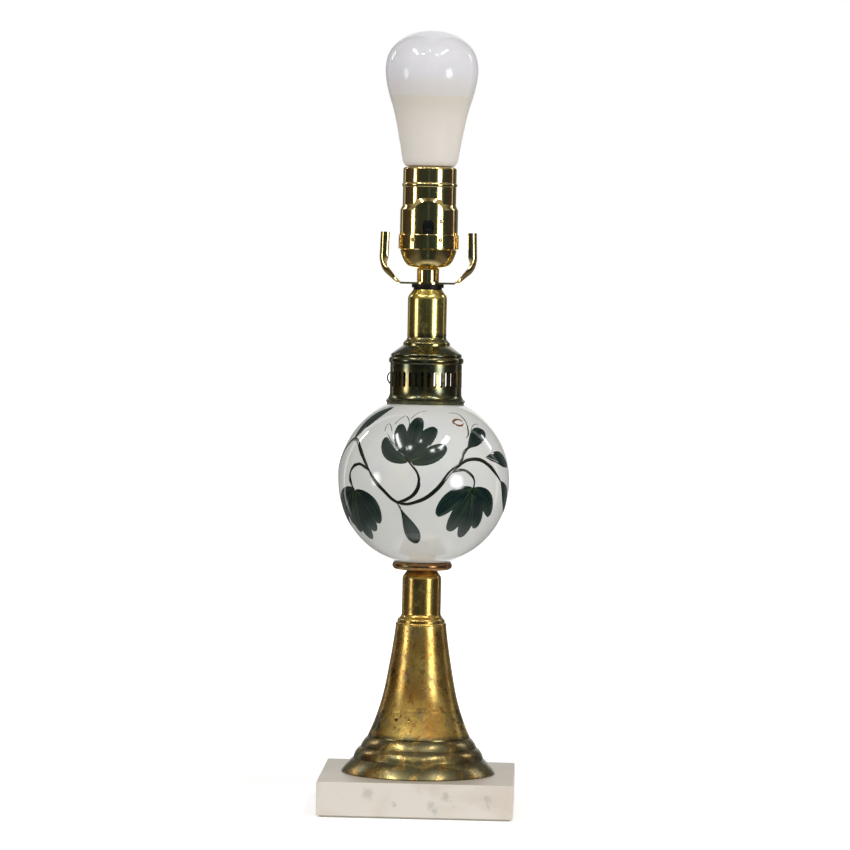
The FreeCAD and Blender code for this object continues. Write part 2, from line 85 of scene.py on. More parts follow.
def direction(turn: float, rise: float = 0.0) -> Vector:
    """The unit vector at degrees from the front, positive towards +X, and degrees above level."""
    east, north = math.radians(turn), math.radians(rise)
    return Vector((math.sin(east) * math.cos(north), -math.cos(east) * math.cos(north), math.sin(north)))


class Term:
    """A socket whose arithmetic adds Math nodes to its graph."""

    def __init__(self, graph: "Graph", socket: bpy.types.NodeSocket) -> None:
        """Wraps one output socket of a node in a graph."""
        self.graph = graph
        self.socket = socket

    def _math(self, operation: str, *values: "Term | float") -> "Term":
        """The result of a new Math node with the values as its inputs, in order."""
        return self.graph.node("ShaderNodeMath", {"operation": operation}, dict(enumerate(values)))

    def __add__(self, other: "Term | float") -> "Term":
        """self + other."""
        return self._math("ADD", self, other)

    __radd__ = __add__

    def __sub__(self, other: "Term | float") -> "Term":
        """self - other."""
        return self._math("SUBTRACT", self, other)

    def __rsub__(self, other: float) -> "Term":
        """other - self."""
        return self._math("SUBTRACT", other, self)

    def __mul__(self, other: "Term | float") -> "Term":
        """self * other."""
        return self._math("MULTIPLY", self, other)

    __rmul__ = __mul__

    def __pow__(self, other: float) -> "Term":
        """self to the power of other."""
        return self._math("POWER", self, other)

    def size(self) -> "Term":
        """The value without its sign."""
        return self._math("ABSOLUTE", self)

    def most(self, other: "Term | float") -> "Term":
        """The larger of the two values."""
        return self._math("MAXIMUM", self, other)

    def angle(self, other: "Term") -> "Term":
        """Degrees whose sine goes with self and whose cosine goes with other."""
        return self._math("ARCTAN2", self, other) * math.degrees(1.0)

    def step(self, low: float, high: float) -> "Term":
        """A smooth step.

        Args:
            low: Where the step starts, at 0.
            high: Where it ends, at 1. It may be below low.

        Returns:
            A value from 0 to 1.
        """
        first, last = (0.0, 1.0) if low < high else (1.0, 0.0)
        inputs = {0: self, 1: min(low, high), 2: max(low, high), 3: first, 4: last}
        return self.graph.node("ShaderNodeMapRange", {"interpolation_type": "SMOOTHSTEP"}, inputs)


class Graph:
    """A node tree to which any node can be added."""

    def __init__(self, tree: bpy.types.NodeTree) -> None:
        """Wraps a material's or a world's tree."""
        self.tree = tree

    def add(self, kind: str, settings: dict | None = None, inputs: dict | None = None) -> bpy.types.Node:
        """Adds any node.

        Args:
            kind: The node's type.
            settings: Its properties, set first.
            inputs: Values or terms for its sockets, by name or place.

        Returns:
            The node.
        """
        node = self.tree.nodes.new(kind)
        for name, value in (settings or {}).items():
            setattr(node, name, value)
        for socket, value in (inputs or {}).items():
            if isinstance(value, Term):
                self.tree.links.new(value.socket, node.inputs[socket])
            else:
                node.inputs[socket].default_value = padded(value)
        return node

    def node(self, kind: str, settings: dict | None = None, inputs: dict | None = None,
             output: int | str = 0) -> Term:
        """One output socket, by name or place, of a node that is added."""
        return Term(self, self.add(kind, settings, inputs).outputs[output])

    def here(self) -> Term:
        """The object coordinates, in metres."""
        return self.node("ShaderNodeTexCoord", output="Object")

    def attribute(self, name: str) -> Term:
        """A number that each point of the mesh carries."""
        return self.node("ShaderNodeAttribute", {"attribute_name": name}, output="Fac")

    def place(self, scale: Triple = (1.0, 1.0, 1.0), move: Triple = (0.0, 0.0, 0.0)) -> Term:
        """The object coordinates, scaled and then moved, in metres, by a Mapping node."""
        inputs = {"Vector": self.here(), "Scale": scale, "Location": move}
        return self.node("ShaderNodeMapping", None, inputs)

    def axis(self, name: str) -> Term:
        """One of the object coordinates X, Y or Z, in millimetres."""
        return self.node("ShaderNodeSeparateXYZ", None, {0: self.here()}, name) * (1 / MM)

    def noise(self, feature: float, detail: float = 3.0, warp: float = 0.0, vector: Term | None = None,
              rough: float = 0.5) -> Term:
        """A noise value.

        Args:
            feature: Size of a patch, in millimetres.
            detail: Octaves of finer noise.
            warp: Distortion.
            vector: Coordinates, or None for the object's own.
            rough: How strong the finer octaves are.

        Returns:
            A value about 0.5.
        """
        inputs = {"Vector": vector or self.place(), "Scale": 1 / (feature * MM), "Detail": detail,
                  "Roughness": rough, "Distortion": warp}
        return self.node("ShaderNodeTexNoise", None, inputs)

    def mix(self, factor: Term | float, first: Term | Opaque, second: Term | Opaque) -> Term:
        """The first colour where the factor is 0, going over to the second where it is 1."""
        return self.node("ShaderNodeMix", {"data_type": "RGBA"}, {0: factor, 6: first, 7: second}, 2)

    def turn(self) -> Term:
        """Degrees round Z from the front, positive towards +X."""
        return self.axis("X").angle(self.axis("Y") * -1.0)

    def reach(self) -> Term:
        """Distance from the Z axis, in millimetres."""
        return (self.axis("X") ** 2.0 + self.axis("Y") ** 2.0) ** 0.5

    def gap(self, turn: float, up: float, out: float) -> Term:
        """Distance from one spot, in millimetres.

        Args:
            turn: The spot's degrees from the front.
            up: Its height, in millimetres.
            out: Its distance from the axis, in millimetres.

        Returns:
            The distance.
        """
        spot = direction(turn) * out + Vector((0.0, 0.0, up))
        inputs = {0: self.here(), 1: tuple(spot * MM)}
        return self.node("ShaderNodeVectorMath", {"operation": "DISTANCE"}, inputs, "Value") * (1 / MM)

    def seen(self) -> Term:
        """1 for rays from the camera, off polish or through glass, and 0 for soft light."""
        rays = [self.node("ShaderNodeLightPath", output=name)
                for name in ("Is Camera Ray", "Is Glossy Ray", "Is Transmission Ray")]
        return rays[0].most(rays[1]).most(rays[2])


class Shader(Graph):
    """A material with one Principled surface."""

    def __init__(self, name: str, **constants: float | Opaque) -> None:
        """Starts the material.

        Args:
            name: The material's name.
            constants: Values for the surface's own sockets, with underscores for spaces.
        """
        self.material = bpy.data.materials.new(name)
        self.material.use_nodes = True
        super().__init__(self.material.node_tree)
        self.tree.nodes.clear()
        inputs = {socket.replace("_", " "): value for socket, value in constants.items()}
        self.surface = self.add("ShaderNodeBsdfPrincipled", inputs=inputs)
        self.add("ShaderNodeOutputMaterial", inputs={"Surface": Term(self, self.surface.outputs[0])})

    def drive(self, socket: str, term: Term) -> None:
        """Links a term to one of the surface's sockets."""
        self.tree.links.new(term.socket, self.surface.inputs[socket])

    def bump(self, height: Term, depth: float, strength: float = 1.0) -> None:
        """Drives the normal from a height, whose 1 stands for a depth in millimetres."""
        inputs = {"Strength": strength, "Distance": depth * MM, "Height": height}
        self.drive("Normal", self.node("ShaderNodeBump", None, inputs, "Normal"))


# --------------------------------------------------------------- finishes

@dataclass(frozen=True)
class PolishedBrass:
    """Bright lacquered brass, with the snap dimples that hold a socket's two halves.

    A dimple is its degrees from the front, then its height, its distance from
    the axis and its radius in millimetres.
    """

    name: str = "polished_brass"
    metal: Opaque = rgb(0.84, 0.66, 0.30)
    smudge: Opaque = rgb(0.60, 0.40, 0.11)
    shadow: Opaque = rgb(0.10, 0.05, 0.015)
    sunk: float = 8.0
    dimples: tuple[Spot, ...] = ()

    def material(self) -> bpy.types.Material:
        """Makes the material.

        Returns:
            The new material.
        """
        shader = Shader(self.name, Metallic=1.0)
        haze = shader.noise(9.0, 4.0, 0.6)
        fine = shader.noise(0.5, 2.0)
        colour = shader.mix(haze.step(0.50, 0.72) * 0.7, self.metal, self.smudge)
        height = shader.noise(6.0, 1.0)
        for turn, up, out, radius in self.dimples:
            gap = shader.gap(turn, up, out)
            height = height - gap.step(radius, 0.2 * radius) * self.sunk
            colour = shader.mix(gap.step(0.6 * radius, 0.2 * radius) * 0.7, colour, self.shadow)
        shader.drive("Base Color", colour)
        shader.drive("Roughness", 0.07 + haze * 0.08 + fine * 0.02)
        shader.bump(height, 0.05, 0.6)
        return shader.material


@dataclass(frozen=True)
class AgedBrass:
    """Old spun brass: gold where it is rubbed, brown and green in patches.

    patina is how green its patches are, polish its lowest roughness, and wear how
    blotched and uneven it is. A pit or a stain is its degrees from the front, then
    its height, its distance from the axis and its radius in millimetres. Recesses
    and ridges are heights, and each recess is darkened by grime and painted shade.
    A band of green tarnish, which is also painted shade where parts meet, lies
    between two heights. A piece's attribute inner marks its unpolished inner faces,
    painted near black as shade.
    """

    name: str
    gold: Opaque
    brown: Opaque
    green: Opaque
    patina: float
    polish: float
    wear: float
    tarnish_and_shade_bands: tuple[Pair, ...] = ()
    recesses: tuple[float, ...] = ()
    ridges: tuple[float, ...] = ()
    stains: tuple[Spot, ...] = ()
    pits: tuple[Spot, ...] = ()
    copper: Opaque = rgb(0.36, 0.13, 0.03)
    freckle: Opaque = rgb(0.10, 0.045, 0.012)
    recess_dirt_and_shade: Opaque = rgb(0.07, 0.065, 0.035)
    pitted: Opaque = rgb(0.025, 0.012, 0.005)
    shaded_inside: Opaque = rgb(0.022, 0.020, 0.014)

    def material(self) -> bpy.types.Material:
        """Makes the material.

        Returns:
            The new material.
        """
        shader = Shader(self.name)
        cloud = shader.noise(20.0, 5.0, 0.8, shader.place((1.0, 1.0, 0.45)))
        patch = shader.noise(7.0, 6.0, 0.5, rough=0.6)
        spots = shader.noise(1.3, 3.0).step(0.66 - 0.05 * self.wear, 0.74)
        tall = shader.place((1.0, 1.0, 0.6), (0.01, 0.0, 0.004))
        red = shader.noise(3.6, 5.0, 0.4, tall, 0.65).step(0.53, 0.66)
        up = shader.axis("Z")
        colour = shader.mix(cloud.step(0.38, 0.66), self.gold, self.brown)
        colour = shader.mix(red * 0.8 * self.wear, colour, self.copper)
        patina = patch.step(0.46, 0.68) * self.patina
        # green tarnish bands, which are also painted shade where parts meet
        for low, high in self.tarnish_and_shade_bands:
            band = up.step(low - 1.0, low + 1.0) * up.step(high + 1.0, high - 1.0)
            patina = patina.most(band * patch.step(0.20, 0.58) * 0.95)
        for turn, rise, out, radius in self.stains:
            stain = (shader.gap(turn, rise, out) + (patch - 0.5) * (3.0 * radius)).step(radius, 0.5 * radius)
            patina = patina.most(stain)
        colour = shader.mix(patina, colour, self.green)
        colour = shader.mix(spots * 0.7 * self.wear, colour, self.freckle)
        rings = shader.noise(0.9, 2.0, vector=shader.place((0.02, 0.02, 1.0)))
        height = (rings * 0.4 + shader.noise(9.0, 2.0) * 1.3 - spots * 0.5) * self.wear
        # grime and painted shade darken each recess height
        for recess in self.recesses:
            colour = shader.mix((up - recess).size().step(0.9, 0.0) * 0.45, colour, self.recess_dirt_and_shade)
        for ridge in self.ridges:
            height = height + (up - ridge).size().step(1.4, 0.0) * 1.2
        for turn, rise, out, radius in self.pits:
            pit = shader.gap(turn, rise, out).step(radius, 0.4 * radius)
            colour = shader.mix(pit * 0.95, colour, self.pitted)
            height = height - pit * 3.0
        # unpolished inner faces, painted near black as shade
        inner = shader.attribute("inner")
        shader.drive("Base Color", shader.mix(inner, colour, self.shaded_inside))
        shader.drive("Roughness", self.polish + (patch + spots) * (0.2 * self.wear) + inner * 0.4)
        shader.drive("Metallic", 1.0 - patch.step(0.50, 0.75) * 0.2 - inner * 0.6)
        shader.bump(height, 0.08, 0.6)
        return shader.material


@dataclass(frozen=True)
class OpalGlass:
    """Glossy white glass that is lightly clouded."""

    name: str = "opal_glass"
    milk: Opaque = rgb(0.665, 0.66, 0.61)
    shade: Opaque = rgb(0.635, 0.64, 0.62)

    def material(self) -> bpy.types.Material:
        """Makes the material.

        Returns:
            The new material.
        """
        shader = Shader(self.name, Roughness=0.06, IOR=1.5, Coat_Roughness=0.03)
        cloud = shader.noise(30.0, 2.0, 0.3)
        shader.drive("Base Color", shader.mix(cloud.step(0.35, 0.65), self.milk, self.shade))
        shader.drive("Coat Weight", 0.5 + cloud * 0.2)
        shader.bump(shader.noise(22.0, 1.0), 0.12, 0.4)
        return shader.material


STROKE = ("across", "along", "tone")  # the numbers that a painted stroke's mesh carries


@dataclass(frozen=True)
class BrushedEnamel:
    """Fired paint with the streaks of a loaded brush, dark at the stroke's edges."""

    name: str
    deep: Opaque = rgb(0.003, 0.011, 0.012)
    streaked: Opaque = rgb(0.022, 0.055, 0.030)
    heel: Opaque = rgb(0.070, 0.100, 0.032)

    def material(self) -> bpy.types.Material:
        """Makes the material.

        Returns:
            The new material.
        """
        shader = Shader(self.name, Roughness=0.12, IOR=1.5, Coat_Roughness=0.04)
        across, along, tone = (shader.attribute(name) for name in STROKE)
        brush = shader.node("ShaderNodeCombineXYZ", None, {0: across * 3.2, 1: along * 0.9, 2: tone * 40.0})
        streak = shader.node("ShaderNodeTexNoise", None, {"Vector": brush, "Scale": 1.6, "Detail": 4.0})
        rim = across.size()
        band = rim.step(0.35, 0.72) * (1 - rim.step(0.78, 0.93))
        light = streak.step(0.40, 0.75) * 0.6 + band * 0.30 * along.step(0.25, 0.7)
        colour = shader.mix(light, self.deep, self.streaked)
        start = (1 - along.step(0.05, 0.42)) * streak.step(0.44, 0.66)
        colour = shader.mix(start * 0.45, colour, self.heel)
        colour = shader.mix(rim.step(0.80, 0.97), colour, self.deep)
        shader.drive("Base Color", colour)
        shader.drive("Coat Weight", 0.6 + streak * 0.2)
        shader.bump(streak, 0.03, 0.5)
        return shader.material


@dataclass(frozen=True)
class Plastic:
    """A moulded plastic with a fine grain, which may fade to a colour between two heights."""

    name: str
    colour: Opaque
    tint: Opaque
    roughness: float = 0.4
    grain: float = 0.4
    depth: float = 0.01
    fade: tuple[float, float, Opaque] | None = None

    def material(self) -> bpy.types.Material:
        """Makes the material.

        Returns:
            The new material.
        """
        shader = Shader(self.name, IOR=1.46)
        cloud = shader.noise(14.0, 3.0)
        colour = shader.mix(cloud.step(0.35, 0.7), self.colour, self.tint)
        if self.fade is not None:
            start, end, last = self.fade
            colour = shader.mix(shader.axis("Z").step(start, end), colour, last)
        shader.drive("Base Color", colour)
        grain = shader.noise(self.grain, 2.0)
        shader.drive("Roughness", self.roughness + (cloud - 0.5) * 0.08 + grain * 0.03)
        shader.bump(grain, self.depth, 0.6)
        return shader.material


@dataclass(frozen=True)
class PlainMetal:
    """A plain machined or blackened metal, which may have a screw thread of a given pitch."""

    name: str
    colour: Opaque
    tint: Opaque
    roughness: float = 0.3
    thread: float = 0.0

    def material(self) -> bpy.types.Material:
        """Makes the material.

        Returns:
            The new material.
        """
        shader = Shader(self.name, Metallic=1.0)
        cloud = shader.noise(5.0, 4.0)
        shader.drive("Base Color", shader.mix(cloud.step(0.4, 0.7), self.colour, self.tint))
        shader.drive("Roughness", self.roughness + cloud * 0.12)
        if self.thread:
            helix = shader.axis("Z") * (1 / self.thread) - shader.turn() * (1 / 360)
            crest = shader.node("ShaderNodeMath", {"operation": "PINGPONG"}, {0: helix, 1: 0.5})
            shader.bump(crest * 2.0, 0.22 * self.thread)
        else:
            shader.bump(shader.noise(0.35, 2.0), 0.02, 0.5)
        return shader.material


@dataclass(frozen=True)
class Marble:
    """Cream marble with soft grey clouds, grey spots on its front and a top painted darker and tanner as
    shade.

    A spot is its place along X, its height and its radius in millimetres.
    """

    name: str = "cream_marble"
    cream: Opaque = rgb(0.75, 0.695, 0.62)
    warm: Opaque = rgb(0.69, 0.615, 0.525)
    grey: Opaque = rgb(0.42, 0.40, 0.36)
    shaded_top: Opaque = rgb(0.465, 0.405, 0.315)
    top: float = 21.5  # height of its upper face
    front: float = 59.0  # its front face's distance from the axis
    spots: tuple[Triple, ...] = ((-28.0, 14.9, 3.0), (18.8, 13.7, 2.2), (9.6, 8.4, 2.2), (12.5, 5.3, 1.6),
                                 (44.0, 13.0, 2.2), (-12.0, 8.0, 1.4))

    def material(self) -> bpy.types.Material:
        """Makes the material.

        Returns:
            The new material.
        """
        shader = Shader(self.name, IOR=1.5)
        cloud = shader.noise(38.0, 5.0, 1.2)
        colour = shader.mix(cloud.step(0.42, 0.66), self.cream, self.warm)
        ragged = shader.noise(3.0, 4.0, 0.6, rough=0.6)
        specks = shader.noise(6.0, 5.0, 0.7, rough=0.6).step(0.66, 0.76)
        for along, up, radius in self.spots:
            turn = math.degrees(math.atan2(along, self.front))
            gap = shader.gap(turn, up, math.hypot(along, self.front)) + (ragged - 0.5) * 7.0
            specks = specks.most(gap.step(1.6 * radius, 0.2 * radius) * 0.75)
        colour = shader.mix(specks * 0.7, colour, self.grey)
        # painted shade: the top face is darker and tanner than the sides
        colour = shader.mix(shader.axis("Z").step(self.top - 0.3, self.top - 0.05) * 0.8, colour, self.shaded_top)
        shader.drive("Base Color", colour)
        shader.drive("Roughness", 0.33 + cloud * 0.15)
        shader.bump(shader.noise(2.5, 4.0), 0.05, 0.5)
        return shader.material


@dataclass(frozen=True)
class Felt:
    """Pale felt, a little yellow."""

    name: str = "pale_felt"
    pile: Opaque = rgb(0.44, 0.42, 0.33)
    light: Opaque = rgb(0.58, 0.56, 0.46)

    def material(self) -> bpy.types.Material:
        """Makes the material.

        Returns:
            The new material.
        """
        shader = Shader(self.name, Roughness=0.95, Sheen_Weight=0.3)
        fibre = shader.noise(0.5, 4.0, 1.5)
        shader.drive("Base Color", shader.mix(fibre.step(0.4, 0.65), self.pile, self.light))
        shader.bump(fibre, 0.25, 0.8)
        return shader.material


OPAL = OpalGlass()
BRIGHT = PolishedBrass()
CAP_BRASS = PolishedBrass("cap_brass", dimples=tuple((turn, 347.4, 18.6, 1.4)
                                                     for turn in (-30.0, 24.5, 150.0, -155.5)))
SHELL_BRASS = PolishedBrass("shell_brass", dimples=tuple((turn, 358.7, 17.9, 1.3)
                                                         for turn in (26.0, -154.0)))
FOOT_BRASS = AgedBrass("foot_brass", gold=rgb(0.95, 0.66, 0.19), brown=rgb(0.62, 0.335, 0.08),
                       green=rgb(0.16, 0.15, 0.08), polish=0.18, patina=0.6, wear=1.0,
                       tarnish_and_shade_bands=((15.0, 46.0),), recesses=(30.6, 37.5, 43.8), ridges=(61.0,),
                       stains=((-66.0, 52.0, 27.0, 8.0), (-58.0, 84.0, 17.0, 3.5), (150.0, 60.0, 24.0, 7.0),
                               (72.0, 56.0, 26.0, 7.0)),
                       pits=((-30.0, 55.5, 25.7, 2.1), (-12.0, 55.5, 25.7, 1.4), (96.0, 60.0, 24.4, 1.8)))
# At the lower neck's top, its band and recesses paint the shade under the seat ring.
LOWER_BRASS = AgedBrass("lower_neck_brass", gold=rgb(0.80, 0.53, 0.14), brown=rgb(0.52, 0.36, 0.12),
                        green=rgb(0.15, 0.14, 0.075), patina=0.45, polish=0.2, wear=0.35,
                        tarnish_and_shade_bands=((143.5, 150.0),), recesses=(147.0, 148.5))
UPPER_BRASS = AgedBrass("upper_neck_brass", gold=rgb(0.84, 0.68, 0.21), brown=rgb(0.66, 0.52, 0.17),
                        green=rgb(0.16, 0.16, 0.085), patina=0.3, polish=0.19, wear=0.2,
                        tarnish_and_shade_bands=((283.0, 290.5),))
RING_BRASS = AgedBrass("seat_ring_brass", gold=rgb(0.66, 0.40, 0.17), brown=rgb(0.36, 0.185, 0.08),
                       green=rgb(0.14, 0.13, 0.07), patina=0.7, polish=0.2, wear=0.5)
GALLERY_BRASS = AgedBrass("gallery_brass", gold=rgb(0.48, 0.35, 0.12), brown=rgb(0.20, 0.185, 0.095),
                          green=rgb(0.115, 0.125, 0.078), patina=2.4, polish=0.17, wear=0.3,
                          tarnish_and_shade_bands=((246.0, 254.0), (269.0, 286.0)))
STEEL = PlainMetal("zinc_steel", rgb(0.55, 0.54, 0.51), rgb(0.42, 0.41, 0.38))
BLACK_STEEL = PlainMetal("blackened_steel", rgb(0.030, 0.029, 0.028), rgb(0.055, 0.045, 0.035), 0.42)
OLD_STEEL = PlainMetal("oiled_rod_steel", rgb(0.060, 0.054, 0.046), rgb(0.11, 0.085, 0.06), 0.45, 1.0)
ALUMINIUM = PlainMetal("thread_aluminium", rgb(0.78, 0.78, 0.77), rgb(0.66, 0.65, 0.63), 0.25, 3.6)
BLACK = Plastic("black_plastic", rgb(0.012, 0.012, 0.013), rgb(0.02, 0.019, 0.018), 0.35)
GLOSS_BLACK = Plastic("switch_rod_plastic", rgb(0.004, 0.005, 0.005), rgb(0.006, 0.008, 0.008), 0.14)
FIBRE = Plastic("liner_fibre", rgb(0.20, 0.12, 0.06), rgb(0.28, 0.18, 0.09), 0.8)
HOUSING = Plastic("housing_plastic", rgb(0.72, 0.665, 0.60), rgb(0.70, 0.65, 0.59), 0.34,
                  fade=(412.0, 434.0, rgb(0.645, 0.60, 0.515)))
DOME = Plastic("dome_plastic", rgb(0.695, 0.68, 0.70), rgb(0.67, 0.66, 0.68), 0.07, 6.0, 0.002,
               fade=(452.0, 436.0, rgb(0.655, 0.62, 0.59)))
LEAF_ENAMEL = BrushedEnamel("leaf_enamel")
STEM_ENAMEL = BrushedEnamel("stem_enamel", rgb(0.004, 0.005, 0.003), rgb(0.03, 0.035, 0.012),
                            rgb(0.02, 0.022, 0.01))
LINE_ENAMEL = BrushedEnamel("line_enamel", rgb(0.05, 0.047, 0.046), rgb(0.12, 0.10, 0.085),
                            rgb(0.09, 0.075, 0.06))
CURL_ENAMEL = BrushedEnamel("curl_enamel", rgb(0.13, 0.042, 0.014), rgb(0.42, 0.17, 0.045),
                            rgb(0.24, 0.08, 0.025))
BOARD = Plastic("circuit_board", rgb(0.62, 0.62, 0.58), rgb(0.55, 0.56, 0.53), 0.45)
CHIP = Plastic("led_chip", rgb(0.85, 0.70, 0.15), rgb(0.80, 0.62, 0.12), 0.3)

NODE_FINISHES = {
    "felt_pad": Felt(), "marble_base": Marble(), "cord_bushing": BLACK, "bottom_washer": STEEL,
    "bottom_nut": STEEL, "threaded_rod": OLD_STEEL, "trumpet_foot": FOOT_BRASS, "lower_neck": LOWER_BRASS,
    "seat_ring": RING_BRASS, "globe": OPAL, "gallery_collar": GALLERY_BRASS,
    "upper_neck": UPPER_BRASS, "lock_ring": BLACK_STEEL, "saddle_washer": BLACK_STEEL,
    "harp_saddle": BRIGHT, "socket_cap": CAP_BRASS, "cap_set_screw": STEEL, "socket_shell": SHELL_BRASS,
    "shell_liner": FIBRE, "switch_body": BLACK, "terminal_screws": BRIGHT, "screw_shell": ALUMINIUM,
    "centre_contact": STEEL, "switch_rod": GLOSS_BLACK, "bulb_screw_base": ALUMINIUM,
    "bulb_base_insulator": BLACK, "bulb_contact": STEEL, "bulb_housing": HOUSING,
    "bulb_diffuser": DOME, "led_board": BOARD, "led_chips": CHIP, "driver_board": BOARD,
}


# ----------------------------------------------------------------- studio

class Panel(Enum):
    """Outlines of a studio light."""

    ROUND = "ELLIPSE"
    SQUARE = "RECTANGLE"


@dataclass
class StudioLight:
    """A flat studio light that faces the object, and that polish shows or doesn't.

    Angles are degrees and sizes metres.
    """

    name: str
    azimuth: float
    elevation: float
    width: float
    height: float
    radiance: float
    distance: float = 2.0
    tilt: float = 0.0
    panel: Panel = Panel.SQUARE
    shown: bool = True


@dataclass
class Studio:
    """Floor, dark studio walls, lights, world and camera.

    Sizes are metres, apart from the lens and the film. The floor brightens over
    the pool's two distances. cloth is where the walls' outline starts and
    wall_line is the rest of it, each point a distance from the axis and a height.
    Colours on the walls are only seen in polish.
    """

    aim: Triple = (0.0, 0.0, 0.2345)
    camera_distance: float = 2.3
    camera_height: float = 0.303
    camera_azimuth: float = 1.8
    camera_roll: float = 1.15
    lens: float = 159.2
    film: float = 36.0
    sight: float = 60.0
    fill: float = 0.485
    floor_size: float = 20.0
    floor_lift: Opaque = rgb(0.34, 0.34, 0.34)
    pool: Pair = (0.15, 0.50)
    strips: tuple[float, ...] = (-131.0, 117.0)
    wall_turn: float = 162.0
    cloth: Pair = (0.10, 0.003)
    wall_line: tuple[Pair, ...] = ((3.2, 0.003), (3.2, 2.6), (0.9, 3.0), (0.02, 3.1))
    lights: tuple[StudioLight, ...] = (
        StudioLight("softbox_left", -64.5, 0.5, 0.54, 0.62, 2.4, panel=Panel.ROUND),
        StudioLight("softbox_left_core", -64.5, 0.5, 0.32, 0.42, 2.6, 1.95, panel=Panel.ROUND),
        StudioLight("softbox_right", 45.5, 0.5, 0.72, 0.68, 3.0, panel=Panel.ROUND),
        StudioLight("softbox_right_core", 45.5, 0.5, 0.46, 0.46, 5.2, 1.95, panel=Panel.ROUND),
        StudioLight("tube_left", -52.0, 49.0, 0.66, 0.15, 14.0, 1.6, -37.0),
        StudioLight("spot_left", -24.0, 44.0, 0.14, 0.14, 14.0, 1.6),
        StudioLight("tube_middle", -7.0, 55.0, 0.07, 0.12, 14.0, 1.6),
        StudioLight("spot_right", 15.0, 42.0, 0.14, 0.14, 14.0, 1.6),
        StudioLight("tube_right", 40.0, 51.0, 0.66, 0.15, 14.0, 1.6, 37.0),
        StudioLight("tube_back_left", -122.0, 27.0, 0.11, 0.34, 8.0, 1.6),
        StudioLight("tube_back_right", 122.0, 27.0, 0.11, 0.34, 8.0, 1.6),
        StudioLight("soft_side", 82.0, 18.0, 1.2, 1.2, 0.8, shown=False),
    )

    def build(self) -> None:
        """Makes the whole studio."""
        self._floor()
        self._walls()
        for light in self.lights:
            self._light(light)
        self._world()
        self._camera()
        bpy.context.scene.view_settings.view_transform = "Standard"
        LOG.info("studio built")

    def _floor(self) -> None:
        """A plain pale floor that brightens to white away from the object."""
        bm = bmesh.new()
        bmesh.ops.create_grid(bm, x_segments=1, y_segments=1, size=self.floor_size)
        floor = new_object("floor", bm)
        shader = Shader("pale_floor", Base_Color=rgb(0.92, 0.92, 0.92), Roughness=0.9,
                        Specular_IOR_Level=0.1, Emission_Strength=1.0)
        near, far = (reach / MM for reach in self.pool)
        glow = shader.mix(shader.reach().step(near, far), self.floor_lift, WHITE)
        shader.drive("Emission Color", shader.mix(shader.seen(), NO_LIGHT, glow))
        floor.data.materials.append(shader.material)

    def _walls(self) -> None:
        """Dark walls with a dark floor cloth, grey behind, which only polish reflects."""
        bm = bmesh.new()
        corners = [bm.verts.new(direction(-self.wall_turn) * reach + Vector((0.0, 0.0, height)))
                   for reach, height in (self.cloth, *self.wall_line)]
        edges = [bm.edges.new(pair) for pair in zip(corners, corners[1:])]
        bmesh.ops.subdivide_edges(bm, edges=edges[:1], cuts=12)
        bmesh.ops.spin(bm, geom=list(bm.verts) + list(bm.edges), cent=(0, 0, 0), axis=(0, 0, 1),
                       angle=math.radians(2 * self.wall_turn), steps=80)
        walls = new_object("studio_walls", bm)
        shader = Shader("dark_wall", Base_Color=NO_LIGHT, Roughness=1.0, Specular_IOR_Level=0.0,
                        Emission_Strength=1.0)
        azimuth = shader.turn()
        rise = (shader.axis("Z") - self.aim[2] / MM).angle(shader.reach())
        colour = shader.mix(azimuth.step(-95.0, -15.0), rgb(0.070, 0.052, 0.034), rgb(0.024, 0.044, 0.050))
        colour = shader.mix(azimuth.step(70.0, 100.0), colour, rgb(0.055, 0.040, 0.045))
        cloud = shader.noise(700.0, 2.0)
        colour = shader.mix(cloud.step(0.35, 0.65) * 0.6, colour, rgb(0.030, 0.030, 0.026))
        front = azimuth.size().step(7.0, 2.5) * shader.noise(120.0, 3.0, 0.5).step(0.45, 0.60)
        colour = shader.mix(front * 0.6, colour, rgb(0.20, 0.21, 0.22))
        ceiling = rise.step(5.0, 24.0) * rise.step(80.0, 60.0) * azimuth.size().step(115.0, 60.0)
        colour = shader.mix(ceiling, colour, rgb(0.42, 0.40, 0.34))
        colour = shader.mix(azimuth.size().step(128.0, 146.0), colour, rgb(0.14, 0.145, 0.13))
        for strip in self.strips:
            colour = shader.mix((azimuth - strip).size().step(3.4, 1.8), colour, rgb(0.95, 0.95, 0.95))
        apron = shader.reach().step(680.0, 420.0) * azimuth.size().step(26.0, 54.0)
        colour = shader.mix(apron, colour, rgb(0.15, 0.145, 0.13))
        bounce = shader.reach().step(300.0, self.cloth[0] / MM)
        colour = shader.mix(bounce, colour, rgb(0.72, 0.72, 0.70))
        shader.drive("Emission Color", colour)
        walls.data.materials.append(shader.material)
        for rays in ("camera", "diffuse", "shadow", "transmission", "volume_scatter"):
            setattr(walls, f"visible_{rays}", False)

    def _light(self, light: StudioLight) -> None:
        """Makes one area light.

        Args:
            light: Its place, size and radiance.
        """
        data = bpy.data.lights.new(light.name, "AREA")
        data.shape = light.panel.value
        data.size = light.width
        data.size_y = light.height
        data.energy = light.radiance * math.pi * light.width * light.height
        made = bpy.data.objects.new(light.name, data)
        way = direction(light.azimuth, light.elevation)
        made.location = Vector(self.aim) + way * light.distance
        made.rotation_euler = facing(way, light.tilt)
        made.visible_glossy = light.shown
        bpy.context.scene.collection.objects.link(made)

